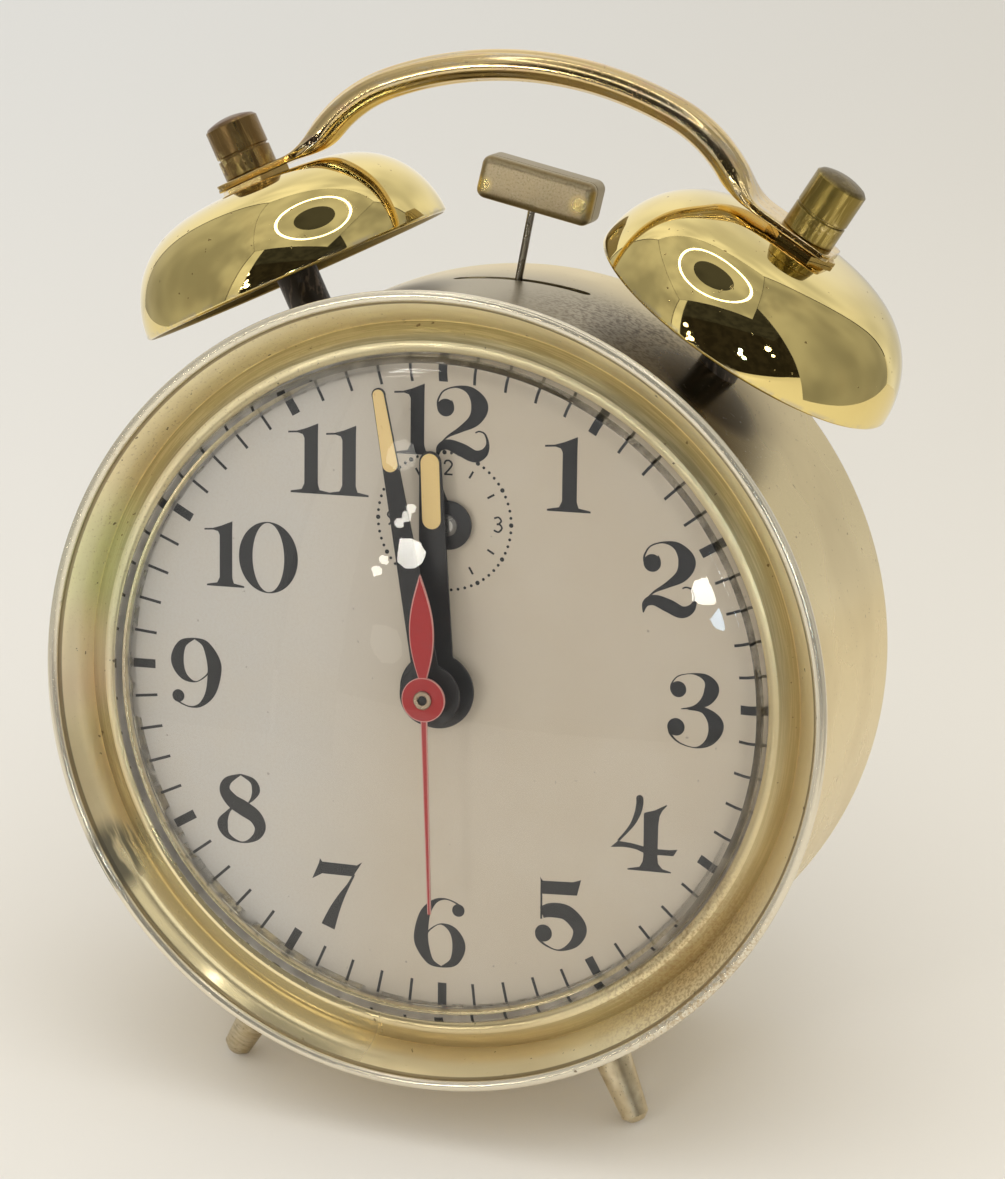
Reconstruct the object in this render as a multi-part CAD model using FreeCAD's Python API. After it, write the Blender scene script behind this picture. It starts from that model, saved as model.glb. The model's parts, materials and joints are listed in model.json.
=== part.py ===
"""Twin bell alarm clock, key wound, millimetres.

Three frames are used. The case frame has the clock's front facing -Y, its back at +Y and its
top at +Z, with the dial's front face at Y = 0 and the case's axis along Y. The movement frame
is the case frame turned a little about that axis, as the dial sits in the case. The part's own
frame is the case frame leaned back until the two feet and the case's rear edge stand on Z = 0.
"""
import FreeCAD, Part
import math
import os

V = FreeCAD.Vector
ALONG_Y = V(0, 1, 0)

# Case drum
DRUM_RADIUS = 50.4
DRUM_WALL = 0.8
DRUM_FRONT = -6.2
DRUM_REAR = 40.0
DRUM_REAR_ROUND = 2.5
DRUM_REAR_FLANGE = 3.6
DIAL_TURN = 3.8

# Front bezel, from its outer bead to its inner lip
BEAD_RADIUS = 0.75
BEAD_OVERHANG = 1.55
BEZEL_VALLEY_INSET = 2.2
BEZEL_VALLEY_DEPTH = 2.3
BEZEL_RING_HEIGHT = 4.1
BEZEL_LIP_INSET = 6.1
BEZEL_SEAT_STEP = 1.3
BEZEL_SKIRT_LENGTH = 3.0
BEZEL_SKIRT_WALL = 0.8
PRESS_GAP = 0.05

# Crystal
CRYSTAL_WALL = 1.2
CRYSTAL_FLANGE = 1.7
CRYSTAL_SIDE_HEIGHT = 4.6
CRYSTAL_SHOULDER = 1.9
CRYSTAL_RISE = 13.3
CRYSTAL_GAP = 0.3

# Dial
DIAL_THICKNESS = 0.5
DIAL_EDGE_GAP = 2.1
DIAL_CENTRE_HOLE = 3.2
DIAL_FEET_CIRCLE = 34.0
DIAL_FOOT_RADIUS = 1.0
DIAL_FOOT_ANGLES = (30, 150, 255)

# Bells and what carries them, measured along each bell's own axis
BELL_TILT = 29.0
BELL_OFFSET = 4.0
BELL_DEPTH = 21.2
BELL_STANDOFF = 6.5
BELL_RIM_RADIUS = 21.8
BELL_HEIGHT = 13.2
BELL_WALL = 0.9
BELL_SIDE_POWER = 3.59
BELL_CROWN_POWER = 1.85
POST_RADIUS = 2.85
STUD_RADIUS = 1.9
STUD_CLEARANCE = 0.1
STUD_INSIDE_LENGTH = 6.2
LOCK_NUT_FLATS = 6.4
LOCK_NUT_HEIGHT = 2.6
CAP_NUT_RADIUS = 3.65
CAP_NUT_HEIGHTS = {"left": 8.0, "right": 9.0}
CAP_NUT_CROWN_RADIUS = 8.3
CAP_NUT_BORE_DEPTH = 5.0
CAP_NUT_GROOVE_SHARE = 0.34
CAP_NUT_GROOVE_DEPTH = 0.25
BELL_NUT_FLATS = 8.8
BELL_NUT_HEIGHT = 0.6
BELL_NUT_SEAT = 0.01

# Handle
HANDLE_ARCH_RADIUS = 49.0
HANDLE_SHOULDER_RADIUS = 19.6
HANDLE_LEG_ANGLE = 53.0
HANDLE_LEG_LENGTH = 0.5
HANDLE_HALF_HEIGHT = 2.1
HANDLE_HALF_DEPTH = 2.7
NECK_SPAN = (4.99, 4.7)
NECK_MIDDLE = (9.0, 0.45)
NECK_MIDDLE_HALF_HEIGHT = 1.15
NECK_MIDDLE_HALF_DEPTH = 3.2
TAB_HALF_WIDTH = 3.9
TAB_THICKNESS = 1.1
TAB_START = 6.2
TAB_END = 4.4
TAB_CORNER = 1.2

# Feet
FOOT_ANGLE = 26.6
FOOT_DEPTH = 7.4
FOOT_LENGTH = 13.5
FOOT_TOP_RADIUS = 2.9
FOOT_END_RADIUS = 1.85
FOOT_CHAMFER = 0.8
FOOT_STUD_RADIUS = 1.5
FOOT_STUD_PAST_NUT = 0.5

# Hammer, with its pivot in the movement frame and its head as it stands in the case frame
HAMMER_PIVOT = (0.0, 32.0)
HAMMER_DEPTH = 22.5
HAMMER_WIRE_RADIUS = 0.5
HAMMER_BELL_GAPS = {"left": 5.62, "right": 2.42}
HAMMER_HEAD_HEIGHT = 5.8
HAMMER_HEAD_DEPTH = 5.3
HAMMER_HEAD_ROUND = 0.7
HAMMER_HEAD_RISE = 12.25
HAMMER_WIRE_SHIFT = 0.45
HAMMER_HEAD_TILT = 9.5
HAMMER_WIRE_OFFSET = -0.5
HAMMER_HUB_RADIUS = 2.0
HAMMER_HUB_LENGTH = 4.0
HAMMER_TAIL_DEPTH = 16.5
HAMMER_TAIL_GAP = 0.5
HAMMER_TAIL_THICKNESS = 1.0
SLOT_LENGTH = 19.0
SLOT_WIDTH = 1.9

# Movement plates and pillars
PLATE_RADIUS = 41.0
PLATE_THICKNESS = 1.2
FRONT_PLATE_FRONT = 6.5
REAR_PLATE_FRONT = 31.6
PILLAR_RADIUS = 1.8
PILLAR_THREAD_RADIUS = 1.0
PILLAR_PLACES = ((18.5, 32.0), (-18.5, 32.0), (0.0, -37.0), (38.0, 8.0), (-38.0, 9.0))
SPACER_PLACES = PILLAR_PLACES[:3]
PILLAR_NUT_FLATS = 4.4
PILLAR_NUT_HEIGHT = 1.6
SPACER_RADIUS = 2.2
BACK_SCREW_RADIUS = 1.1
BACK_SCREW_HEAD_RADIUS = 2.3
BACK_SCREW_HEAD_HEIGHT = 1.2
BACK_SCREW_SLOT = 0.6

# Back cover
BACK_THICKNESS = 0.8
BACK_EDGE_GAP = 0.2

# Arbors, their pivots and their running fits
ARBOR_RADIUS = 0.8
PIVOT_RADIUS = 0.5
RUNNING_GAP = 0.05
END_SHAKE = 0.15

# Time side train: teeth, modules and layers
GREAT_TEETH = 60
CENTRE_PINION_TEETH = 10
GREAT_MODULE = 0.6
CENTRE_TEETH = 60
THIRD_PINION_TEETH = 8
CENTRE_MODULE = 0.42
THIRD_TEETH = 64
FOURTH_PINION_TEETH = 8
FOURTH_TEETH = 64
ESCAPE_PINION_TEETH = 8
FOURTH_MODULE = 0.4
ESCAPE_TEETH = 15
ESCAPE_RADIUS = 6.6
WHEEL_THICKNESS = 0.8
PINION_OVERHANG = 0.4
GREAT_LAYER = 9.6
CENTRE_LAYER = 22.9
THIRD_LAYER = 25.6
FOURTH_LAYER = 28.0
ESCAPE_LAYER = 30.0
TIME_BARREL_ANGLE = -25.0
THIRD_ANGLE = 135.0
ESCAPE_ANGLE = 40.0
ESCAPE_BRIDGE_LAYER = 24.7
ESCAPE_BRIDGE_FOOT = (8.5, 15.9)
ESCAPE_BRIDGE_RADIUS = 1.6
PALLET_PLACE = (18.8, 14.7)
BALANCE_PLACE = (26.6, 22.5)
BALANCE_RADIUS = 9.5
BALANCE_LAYER = 28.4
BALANCE_RIM = 1.3
HAIRSPRING_LAYER = 25.9
HAIRSPRING_TURNS = 6
HAIRSPRING_OUTER = 6.2
HAIRSPRING_INNER = 1.7
HAIRSPRING_THICKNESS = 0.16

# Barrels, mainsprings and keys
BARREL_RADIUS = 15.6
BARREL_HEIGHT = 10.0
BARREL_WALL = 0.7
MAINSPRING_TURNS = 7
MAINSPRING_THICKNESS = 0.4
WINDING_ARBOR_RADIUS = 2.4
KEY_SQUARE = 2.6
RATCHET_TEETH = 18
RATCHET_RADIUS = 6.2
RATCHET_LAYER = 34.4
RATCHET_THICKNESS = 1.2
CLICK_LENGTH = 7.5
CLICK_GAP = 0.08
KEY_START = 41.2
KEY_BOSS_RADIUS = 3.1
KEY_BOSS_LENGTH = 5.0
KEY_WING_RADIUS = 5.2
KEY_WING_SPREAD = 6.2
KEY_WING_LENGTH = 9.5
KEY_WING_THICKNESS = 1.7

# Motion works behind the dial
CANNON_TEETH = 12
MINUTE_WHEEL_TEETH = 36
MOTION_MODULE = 0.7
MINUTE_PINION_TEETH = 10
HOUR_TEETH = 40
MINUTE_WHEEL_ANGLE = -90.0
HOUR_LAYER = 1.7
CANNON_LAYER = 4.6
SECONDS_ARBOR_RADIUS = 0.45
HOLLOW_WALL = 0.5
CANNON_WALL = 0.65
HOUR_WALL = 0.75

# Hands
HOUR_HAND_LAYER = -2.5
MINUTE_HAND_LAYER = -5.4
SECONDS_HAND_LAYER = -7.9
HAND_THICKNESS = 0.3
HOUR_HAND_LENGTH = 31.3
HOUR_HAND_WIDTH = (4.6, 2.95)
HOUR_BOSS_RADIUS = 5.0
MINUTE_HAND_END_GAP = 2.6
MINUTE_HAND_WIDTH = (3.6, 1.75)
MINUTE_BOSS_RADIUS = 4.05
HOUR_HAND_ANGLE = -1.8
MINUTE_HAND_ANGLE = -10.1
SECONDS_HAND_ANGLE = 178.3
SECONDS_HAND_LENGTH = 28.4
SECONDS_TAIL_LENGTH = 16.3
SECONDS_BOSS_RADIUS = 2.9
SECONDS_LEAF_WIDTH = 3.3
SECONDS_LEAF_AT = 9.8
SECONDS_TUBE_RADIUS = 1.2

# Alarm setting, alarm train and stop button
ALARM_PLACE = (0.9, 21.5)
ALARM_ARBOR_RADIUS = 0.9
ALARM_HUB_RADIUS = 3.2
ALARM_HAND_LAYER = -0.9
ALARM_HAND_LENGTH = 8.4
ALARM_HAND_ANGLE = -17.0
ALARM_CAM_RADIUS = 5.0
ALARM_CAM_LAYER = 3.4
ALARM_BARREL_PLACE = (-21.8, -12.6)
ALARM_GREAT_TEETH = 60
ALARM_PINION_TEETH = 8
ALARM_SECOND_ANGLE = 100.0
ALARM_SECOND_TEETH = 40
ALARM_SECOND_MODULE = 0.5
ALARM_SECOND_LAYER = 20.9
ALARM_ESCAPE_ANGLE = 75.0
ALARM_ESCAPE_TEETH = 18
ALARM_ESCAPE_RADIUS = 7.6
STOP_PLACE = (-10.4, 29.2)
STOP_RADIUS = 1.3
STOP_KNOB_RADIUS = 3.0
STOP_TRAVEL = 3.0
STOP_END_GAP = 0.4
KNOB_RADIUS = 5.3
KNOB_LENGTH = 6.0
KNOB_FLUTES = 24
KNOB_FLUTE_RADIUS = 0.45
REGULATOR_LENGTH = 12.5
REGULATOR_WIDTH = 2.2
REGULATOR_ANGLE = -60.0
REGULATOR_SWING = 15.0
REGULATOR_LAYER = 33.6
REGULATOR_TAB_END = 42.0

# Worked out from the values above
DRUM_BORE = DRUM_RADIUS - DRUM_WALL
FRONT_PLATE_REAR = FRONT_PLATE_FRONT + PLATE_THICKNESS
REAR_PLATE_REAR = REAR_PLATE_FRONT + PLATE_THICKNESS
BACK_REAR = DRUM_REAR - DRUM_WALL
BACK_FRONT = BACK_REAR - BACK_THICKNESS
PIVOT_HOLE = PIVOT_RADIUS + RUNNING_GAP
STUD_HOLE = STUD_RADIUS + STUD_CLEARANCE
BEAD_CENTRE_RADIUS = DRUM_RADIUS + BEAD_OVERHANG
BEZEL_VALLEY_RADIUS = DRUM_RADIUS - BEZEL_VALLEY_INSET
BEZEL_LIP_RADIUS = DRUM_RADIUS - BEZEL_LIP_INSET
BEZEL_SEAT_RADIUS = BEZEL_LIP_RADIUS + BEZEL_SEAT_STEP
CRYSTAL_SIDE_RADIUS = BEZEL_LIP_RADIUS - CRYSTAL_GAP
DIAL_RADIUS = DRUM_BORE - DIAL_EDGE_GAP
MINUTE_HAND_LENGTH = CRYSTAL_SIDE_RADIUS - CRYSTAL_WALL - MINUTE_HAND_END_GAP
BELL_RIM_DISTANCE = DRUM_RADIUS + BELL_STANDOFF
BELL_TOP = BELL_RIM_DISTANCE + BELL_HEIGHT
TAB_TOP = BELL_TOP + BELL_NUT_HEIGHT + TAB_THICKNESS
FOOT_END_DISTANCE = DRUM_RADIUS + FOOT_LENGTH
FOOT_NUT_TOP = math.sqrt(DRUM_BORE ** 2 - LOCK_NUT_FLATS ** 2 / 3) - PRESS_GAP
FOOT_STUD_END = FOOT_NUT_TOP - LOCK_NUT_HEIGHT - FOOT_STUD_PAST_NUT
CENTRE_DISTANCE = GREAT_MODULE * (GREAT_TEETH + CENTRE_PINION_TEETH) / 2
THIRD_DISTANCE = CENTRE_MODULE * (CENTRE_TEETH + THIRD_PINION_TEETH) / 2
THIRD_MODULE = 2 * THIRD_DISTANCE / (THIRD_TEETH + FOURTH_PINION_TEETH)
ESCAPE_DISTANCE = FOURTH_MODULE * (FOURTH_TEETH + ESCAPE_PINION_TEETH) / 2
MINUTE_WHEEL_DISTANCE = MOTION_MODULE * (CANNON_TEETH + MINUTE_WHEEL_TEETH) / 2
HOUR_MODULE = 2 * MINUTE_WHEEL_DISTANCE / (MINUTE_PINION_TEETH + HOUR_TEETH)
ALARM_SECOND_DISTANCE = GREAT_MODULE * (ALARM_GREAT_TEETH + ALARM_PINION_TEETH) / 2
ALARM_ESCAPE_DISTANCE = ALARM_SECOND_MODULE * (ALARM_SECOND_TEETH + ALARM_PINION_TEETH) / 2
HOLLOW_BORE = SECONDS_ARBOR_RADIUS + RUNNING_GAP
HOLLOW_RADIUS = HOLLOW_BORE + HOLLOW_WALL
CANNON_BORE = HOLLOW_RADIUS + RUNNING_GAP
CANNON_RADIUS = CANNON_BORE + CANNON_WALL
HOUR_BORE = CANNON_RADIUS + RUNNING_GAP
HOUR_RADIUS = HOUR_BORE + HOUR_WALL
ALL_DEPTHS = (-CRYSTAL_RISE, DRUM_REAR)
HOLE_REACH = 8 * DRUM_WALL


def polar(distance, angle, start=(0.0, 0.0)):
    """A point in the XZ plane at a distance and an angle from the X axis, in degrees."""
    turn = math.radians(angle)
    return (start[0] + distance * math.cos(turn), start[1] + distance * math.sin(turn))


TIME_BARREL_PLACE = polar(CENTRE_DISTANCE, TIME_BARREL_ANGLE)
THIRD_PLACE = polar(THIRD_DISTANCE, THIRD_ANGLE)
ESCAPE_PLACE = polar(ESCAPE_DISTANCE, ESCAPE_ANGLE)
MINUTE_WHEEL_PLACE = polar(MINUTE_WHEEL_DISTANCE, MINUTE_WHEEL_ANGLE)
ALARM_SECOND_PLACE = polar(ALARM_SECOND_DISTANCE, ALARM_SECOND_ANGLE, ALARM_BARREL_PLACE)
ALARM_ESCAPE_PLACE = polar(ALARM_ESCAPE_DISTANCE, ALARM_ESCAPE_ANGLE, ALARM_SECOND_PLACE)
STATION = (0.0, 0.0)

nodes = {}


def rod(radius, start, end, place=STATION):
    """A round bar along Y between two depths."""
    return Part.makeCylinder(radius, end - start, V(place[0], start, place[1]), ALONG_Y)


def tube(outer, inner, start, end, place=STATION):
    """A round bar with a bore along Y."""
    return rod(outer, start, end, place).cut(rod(inner, start - 1, end + 1, place))


def turned(edges, place=STATION):
    """A solid of revolution about the Y axis through a place, from edges in the XY plane."""
    face = Part.Face(Part.Wire(edges))
    solid = face.revolve(V(0, 0, 0), ALONG_Y, 360)
    solid.translate(V(place[0], 0, place[1]))
    return solid


def lines(points):
    """Straight edges through points of the XY plane, given as radius and depth."""
    spots = [V(radius, depth, 0) for radius, depth in points]
    return [Part.LineSegment(a, b).toShape() for a, b in zip(spots, spots[1:])]


def arc(first, middle, last):
    """An arc in the XY plane through three points given as radius and depth."""
    spots = [V(radius, depth, 0) for radius, depth in (first, middle, last)]
    return Part.Arc(*spots).toShape()


def plate(points, start, end):
    """A flat piece along Y whose outline is a closed row of points of the XZ plane."""
    corners = [V(x, start, z) for x, z in points]
    outline = Part.makePolygon(corners + [corners[0]])
    return Part.Face(outline).extrude(V(0, end - start, 0))


def turn_about(shape, angle, place=STATION):
    """The shape turned clockwise, as the clock's front shows it, about an axis along Y."""
    copy = shape.copy()
    copy.rotate(V(place[0], 0, place[1]), ALONG_Y, angle)
    return copy


def hexagon(flats, start, end, place=STATION):
    """A hexagonal prism along Y."""
    corner = flats / math.sqrt(3)
    return plate([polar(corner, 60 * side, place) for side in range(6)], start, end)


def gear(teeth, module, layer, place, phase, thickness=WHEEL_THICKNESS, pinion=False):
    """A toothed disc; phase is the direction of one tooth's middle, in degrees."""
    pitch = teeth * module / 2
    tip = pitch + module * (0.75 if pinion else 0.85)
    root = pitch - module * 1.15
    half_pitch = 180.0 / teeth
    at_pitch = half_pitch * (0.38 if pinion else 0.44)
    at_root = half_pitch * (0.44 if pinion else 0.62)
    at_tip = half_pitch * (0.16 if pinion else 0.18)
    outline = []
    for tooth in range(teeth):
        middle = phase + 2 * half_pitch * tooth
        for radius, angle in ((root, -at_root), (pitch, -at_pitch), (tip, -at_tip),
                              (tip, at_tip), (pitch, at_pitch), (root, at_root)):
            outline.append(polar(radius, middle + angle, place))
    return plate(outline, layer - thickness / 2, layer + thickness / 2)


def towards(start, end):
    """The direction in degrees from one place to another in the XZ plane."""
    return math.degrees(math.atan2(end[1] - start[1], end[0] - start[0]))


def wheel_and_pinion(wheel_place, pinion_place, pinion_teeth):
    """Phases of a wheel and a pinion that put the pinion's gap opposite a wheel's tooth."""
    angle = towards(wheel_place, pinion_place)
    return angle, angle + 180 + 180.0 / pinion_teeth


def crossed_out(wheel, hub, rim, place, layer, spokes=4, arm=1.6):
    """A wheel with its web cut away between spokes."""
    ring = tube(rim, hub, layer - 2, layer + 2, place)
    for spoke in range(spokes):
        bar = Part.makeBox(rim + 2, 4, arm, V(0, layer - 2, -arm / 2))
        bar.rotate(V(0, 0, 0), ALONG_Y, 360.0 * spoke / spokes + 20)
        bar.translate(V(place[0], 0, place[1]))
        ring = ring.cut(bar)
    return wheel.cut(ring)


def arbor(place, start=FRONT_PLATE_FRONT, end=REAR_PLATE_REAR, shoulder=FRONT_PLATE_REAR):
    """A shaft with a thinner pivot at each end, which runs in a plate."""
    body = rod(ARBOR_RADIUS, shoulder + END_SHAKE, REAR_PLATE_FRONT - END_SHAKE, place)
    return body.fuse(rod(PIVOT_RADIUS, start, end, place))


def spiral(place, inner, outer, turns, thickness, start, end, angle=0.0):
    """A flat spiral strip standing along Y, unrolled from an inner to an outer radius."""
    steps = 12 * turns

    def line(offset):
        spots = []
        for step in range(steps + 1):
            radius = inner + (outer - inner) * step / steps + offset
            x, z = polar(radius, angle + 360.0 * turns * step / steps, place)
            spots.append(V(x, start, z))
        curve = Part.BSplineCurve()
        curve.interpolate(spots)
        return curve.toShape()

    near, far = line(-thickness / 2), line(thickness / 2)
    caps = [Part.LineSegment(near.valueAt(near.ParameterRange[side]),
                             far.valueAt(far.ParameterRange[side])).toShape() for side in (0, 1)]
    outline = Part.Wire(Part.__sortEdges__([near, caps[1], far, caps[0]]))
    return Part.Face(outline).extrude(V(0, end - start, 0))


def knob(place, start):
    """A round knob with a fluted edge."""
    body = rod(KNOB_RADIUS, start, start + KNOB_LENGTH, place)
    body = body.makeFillet(0.8, [edge for edge in body.Edges if edge.Length > 6 * KNOB_RADIUS
                                 and edge.BoundBox.YMax > start + KNOB_LENGTH - 0.01])
    for flute in range(KNOB_FLUTES):
        spot = polar(KNOB_RADIUS, 360.0 * flute / KNOB_FLUTES, place)
        body = body.cut(rod(KNOB_FLUTE_RADIUS, start + 0.6, start + KNOB_LENGTH + 1, spot))
    return body


def key(place):
    """A winding key: a boss on the arbor's end and a flat wing with two round lobes."""
    boss = rod(KEY_BOSS_RADIUS, KEY_START, KEY_START + KEY_BOSS_LENGTH, place)
    wing_start = KEY_START + KEY_BOSS_LENGTH - 2.0
    middle = wing_start + KEY_WING_LENGTH / 2
    low = place[1] - KEY_WING_THICKNESS / 2
    wing = Part.makeBox(2 * KEY_WING_SPREAD, KEY_WING_LENGTH, KEY_WING_THICKNESS,
                        V(place[0] - KEY_WING_SPREAD, wing_start, low))
    for side in (-1, 1):
        lobe_place = V(place[0] + side * KEY_WING_SPREAD, middle, low)
        wing = wing.fuse(Part.makeCylinder(KEY_WING_RADIUS, KEY_WING_THICKNESS, lobe_place))
        hole = Part.makeCylinder(KEY_WING_RADIUS * 0.42, KEY_WING_THICKNESS * 3,
                                 V(lobe_place.x, middle, low - KEY_WING_THICKNESS))
        wing = wing.cut(hole)
    return boss.fuse(wing).removeSplitter()


# Bells, posts, nuts, washers and handle stand on axes that tilt outwards in the case frame

def on_bell_axis(shape, side):
    """A shape made along +Z moved to a bell's axis; side is -1 for left and 1 for right."""
    copy = shape.copy()
    copy.translate(V(side * BELL_OFFSET, 0, 0))
    copy.rotate(V(0, 0, 0), ALONG_Y, side * BELL_TILT)
    copy.translate(V(0, BELL_DEPTH, 0))
    return copy


def bell_radius_and_height(turn, shrink):
    """A point of the bell's side; shrink is how far the surface lies inside the outer one."""
    radius = (BELL_RIM_RADIUS - shrink) * math.cos(turn) ** (2 / BELL_SIDE_POWER)
    height = (BELL_HEIGHT - shrink) * math.sin(turn) ** (2 / BELL_CROWN_POWER)
    return radius, height


def bell_curve(shrink, steps=18):
    """The bell's side from rim to crown, as a smooth edge in the XZ plane."""
    spots = []
    for step in range(steps + 1):
        radius, height = bell_radius_and_height(math.pi / 2 * step / steps, shrink)
        spots.append(V(radius if step < steps else 0, 0, BELL_RIM_DISTANCE + height))
    curve = Part.BSplineCurve()
    curve.interpolate(Points=spots, InitialTangent=V(0, 0, 1), FinalTangent=V(-1, 0, 0))
    return curve.toShape()


def make_bell():
    outer = bell_curve(0.0)
    inner = bell_curve(BELL_WALL)
    axis_step = Part.LineSegment(V(0, 0, BELL_TOP), V(0, 0, BELL_TOP - BELL_WALL)).toShape()
    rim_step = Part.LineSegment(V(BELL_RIM_RADIUS - BELL_WALL, 0, BELL_RIM_DISTANCE),
                                V(BELL_RIM_RADIUS, 0, BELL_RIM_DISTANCE)).toShape()
    outline = Part.Wire(Part.__sortEdges__([outer, axis_step, inner, rim_step]))
    shell = Part.Face(outline).revolve(V(0, 0, 0), V(0, 0, 1), 360)
    hole = Part.makeCylinder(STUD_HOLE, 2 * BELL_HEIGHT, V(0, 0, BELL_RIM_DISTANCE))
    return shell.cut(hole)


def make_post():
    """A post whose foot is cut to the case's round side, with a stud at each end."""
    inside = (POST_RADIUS / (BELL_RIM_RADIUS - BELL_WALL)) ** BELL_SIDE_POWER
    seat = BELL_RIM_DISTANCE + (BELL_HEIGHT - BELL_WALL) * (1 - inside) ** (1 / BELL_CROWN_POWER)
    foot = DRUM_RADIUS - 3
    body = Part.makeCylinder(POST_RADIUS, seat - foot, V(0, 0, foot))
    body = on_bell_axis(body, 1).cut(rod(DRUM_RADIUS, 0, 2 * BELL_DEPTH))
    low = DRUM_BORE - STUD_INSIDE_LENGTH
    stud = Part.makeCylinder(STUD_RADIUS, TAB_TOP + CAP_NUT_BORE_DEPTH - 0.4 - low, V(0, 0, low))
    return body.fuse(on_bell_axis(stud, 1))


def make_cap_nut(height):
    """A round nut with a domed end, a groove round it and a blind bore."""
    nut = Part.makeCylinder(CAP_NUT_RADIUS, height, V(0, 0, TAB_TOP))
    dome = Part.makeSphere(CAP_NUT_CROWN_RADIUS, V(0, 0, TAB_TOP + height - CAP_NUT_CROWN_RADIUS))
    body_end = V(0, 0, TAB_TOP + height - 2 * (height - CAP_NUT_BORE_DEPTH))
    lower = Part.makeCylinder(CAP_NUT_RADIUS, body_end.z - TAB_TOP, V(0, 0, TAB_TOP))
    nut = nut.common(dome.fuse(lower))
    groove_low = V(0, 0, TAB_TOP + CAP_NUT_GROOVE_SHARE * height)
    groove = Part.makeCylinder(CAP_NUT_RADIUS + 1, 0.3, groove_low)
    groove = groove.cut(Part.makeCylinder(CAP_NUT_RADIUS - CAP_NUT_GROOVE_DEPTH, 1, groove_low))
    bore = Part.makeCylinder(STUD_RADIUS, CAP_NUT_BORE_DEPTH, V(0, 0, TAB_TOP))
    return nut.cut(groove).cut(bore).removeSplitter()


def mirrored(shape):
    """The left-hand copy of a right-hand piece."""
    return shape.mirror(V(0, 0, 0), V(1, 0, 0))


def bell_axis_point(along, across=0.0):
    """A point of the right bell's axis plane, in the case frame."""
    tilt = math.radians(BELL_TILT)
    sideways = BELL_OFFSET + across
    return V(along * math.sin(tilt) + sideways * math.cos(tilt), BELL_DEPTH,
             along * math.cos(tilt) - sideways * math.sin(tilt))


def slope(angle):
    """The direction that runs outwards and down at an angle, in the XZ plane."""
    turn = math.radians(angle)
    return V(math.cos(turn), 0, -math.sin(turn))


def bend(start, radius, first, last):
    """An arc that steepens from one downward slope to another, and where it ends."""
    def outward(angle):
        return V(math.sin(math.radians(angle)), 0, math.cos(math.radians(angle))) * radius

    centre = start - outward(first)
    middle, end = centre + outward((first + last) / 2), centre + outward(last)
    return Part.Arc(start, middle, end).toShape(), end


def oval(centre, along, half_depth, half_height):
    """An oval wire square to a direction of the XZ plane, longest along Y."""
    up = along.cross(ALONG_Y) * -1
    curve = Part.Ellipse(centre + ALONG_Y * half_depth, centre + up * half_height, centre)
    return Part.Wire(curve.toShape())


def handle_arch():
    """The arch's height and the angle that it spans, so that each leg ends beside its tab."""
    leg_end = bell_axis_point(TAB_TOP - TAB_THICKNESS / 2, -TAB_START) + V(-NECK_SPAN[0], 0, NECK_SPAN[1])
    leg = math.radians(HANDLE_LEG_ANGLE)
    spread = leg_end.x - HANDLE_SHOULDER_RADIUS * math.sin(leg) - HANDLE_LEG_LENGTH * math.cos(leg)
    turn = math.asin(spread / (HANDLE_ARCH_RADIUS - HANDLE_SHOULDER_RADIUS))
    drop = HANDLE_ARCH_RADIUS * (1 - math.cos(turn)) + HANDLE_LEG_LENGTH * math.sin(leg)
    drop += HANDLE_SHOULDER_RADIUS * (math.cos(turn) - math.cos(leg))
    return leg_end.z + drop, math.degrees(turn)


HANDLE_TOP, HANDLE_ARCH_ANGLE = handle_arch()


def make_handle():
    """An oval bar bent to an arch, flattened at each end to a tab that a stud passes through."""
    top = V(0, BELL_DEPTH, HANDLE_TOP)
    arch, arch_end = bend(top, HANDLE_ARCH_RADIUS, 0.0, HANDLE_ARCH_ANGLE)
    shoulder, leg_start = bend(arch_end, HANDLE_SHOULDER_RADIUS, HANDLE_ARCH_ANGLE, HANDLE_LEG_ANGLE)
    leg_end = leg_start + slope(HANDLE_LEG_ANGLE) * HANDLE_LEG_LENGTH
    path = Part.Wire([arch, shoulder, Part.LineSegment(leg_start, leg_end).toShape()])
    bar = path.makePipeShell([oval(top, slope(0), HANDLE_HALF_DEPTH, HANDLE_HALF_HEIGHT)], True, False)
    tab_middle = TAB_TOP - TAB_THICKNESS / 2
    halfway = bell_axis_point(tab_middle + NECK_MIDDLE[1], -NECK_MIDDLE[0])
    flat = bell_axis_point(tab_middle, -TAB_START + 0.3)
    neck = Part.makeLoft([oval(leg_end, slope(HANDLE_LEG_ANGLE), HANDLE_HALF_DEPTH, HANDLE_HALF_HEIGHT),
                          oval(halfway, slope((HANDLE_LEG_ANGLE + BELL_TILT) / 2),
                               NECK_MIDDLE_HALF_DEPTH, NECK_MIDDLE_HALF_HEIGHT),
                          oval(flat, slope(BELL_TILT), TAB_HALF_WIDTH, TAB_THICKNESS / 2)], True, False)
    tab = Part.makeBox(TAB_START + TAB_END, 2 * TAB_HALF_WIDTH, TAB_THICKNESS,
                       V(-TAB_START, -TAB_HALF_WIDTH, TAB_TOP - TAB_THICKNESS))
    corners = [edge for edge in tab.Edges if edge.BoundBox.XMin > TAB_END - 0.01
               and edge.BoundBox.ZLength > TAB_THICKNESS / 2]
    tab = tab.makeFillet(TAB_CORNER, corners)
    half = bar.fuse(neck).fuse(on_bell_axis(tab, 1))
    hole = Part.makeCylinder(STUD_HOLE, 4 * TAB_THICKNESS, V(0, 0, TAB_TOP - 2 * TAB_THICKNESS))
    half = half.cut(on_bell_axis(hole, 1))
    return half.fuse(mirrored(half)).removeSplitter()


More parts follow.
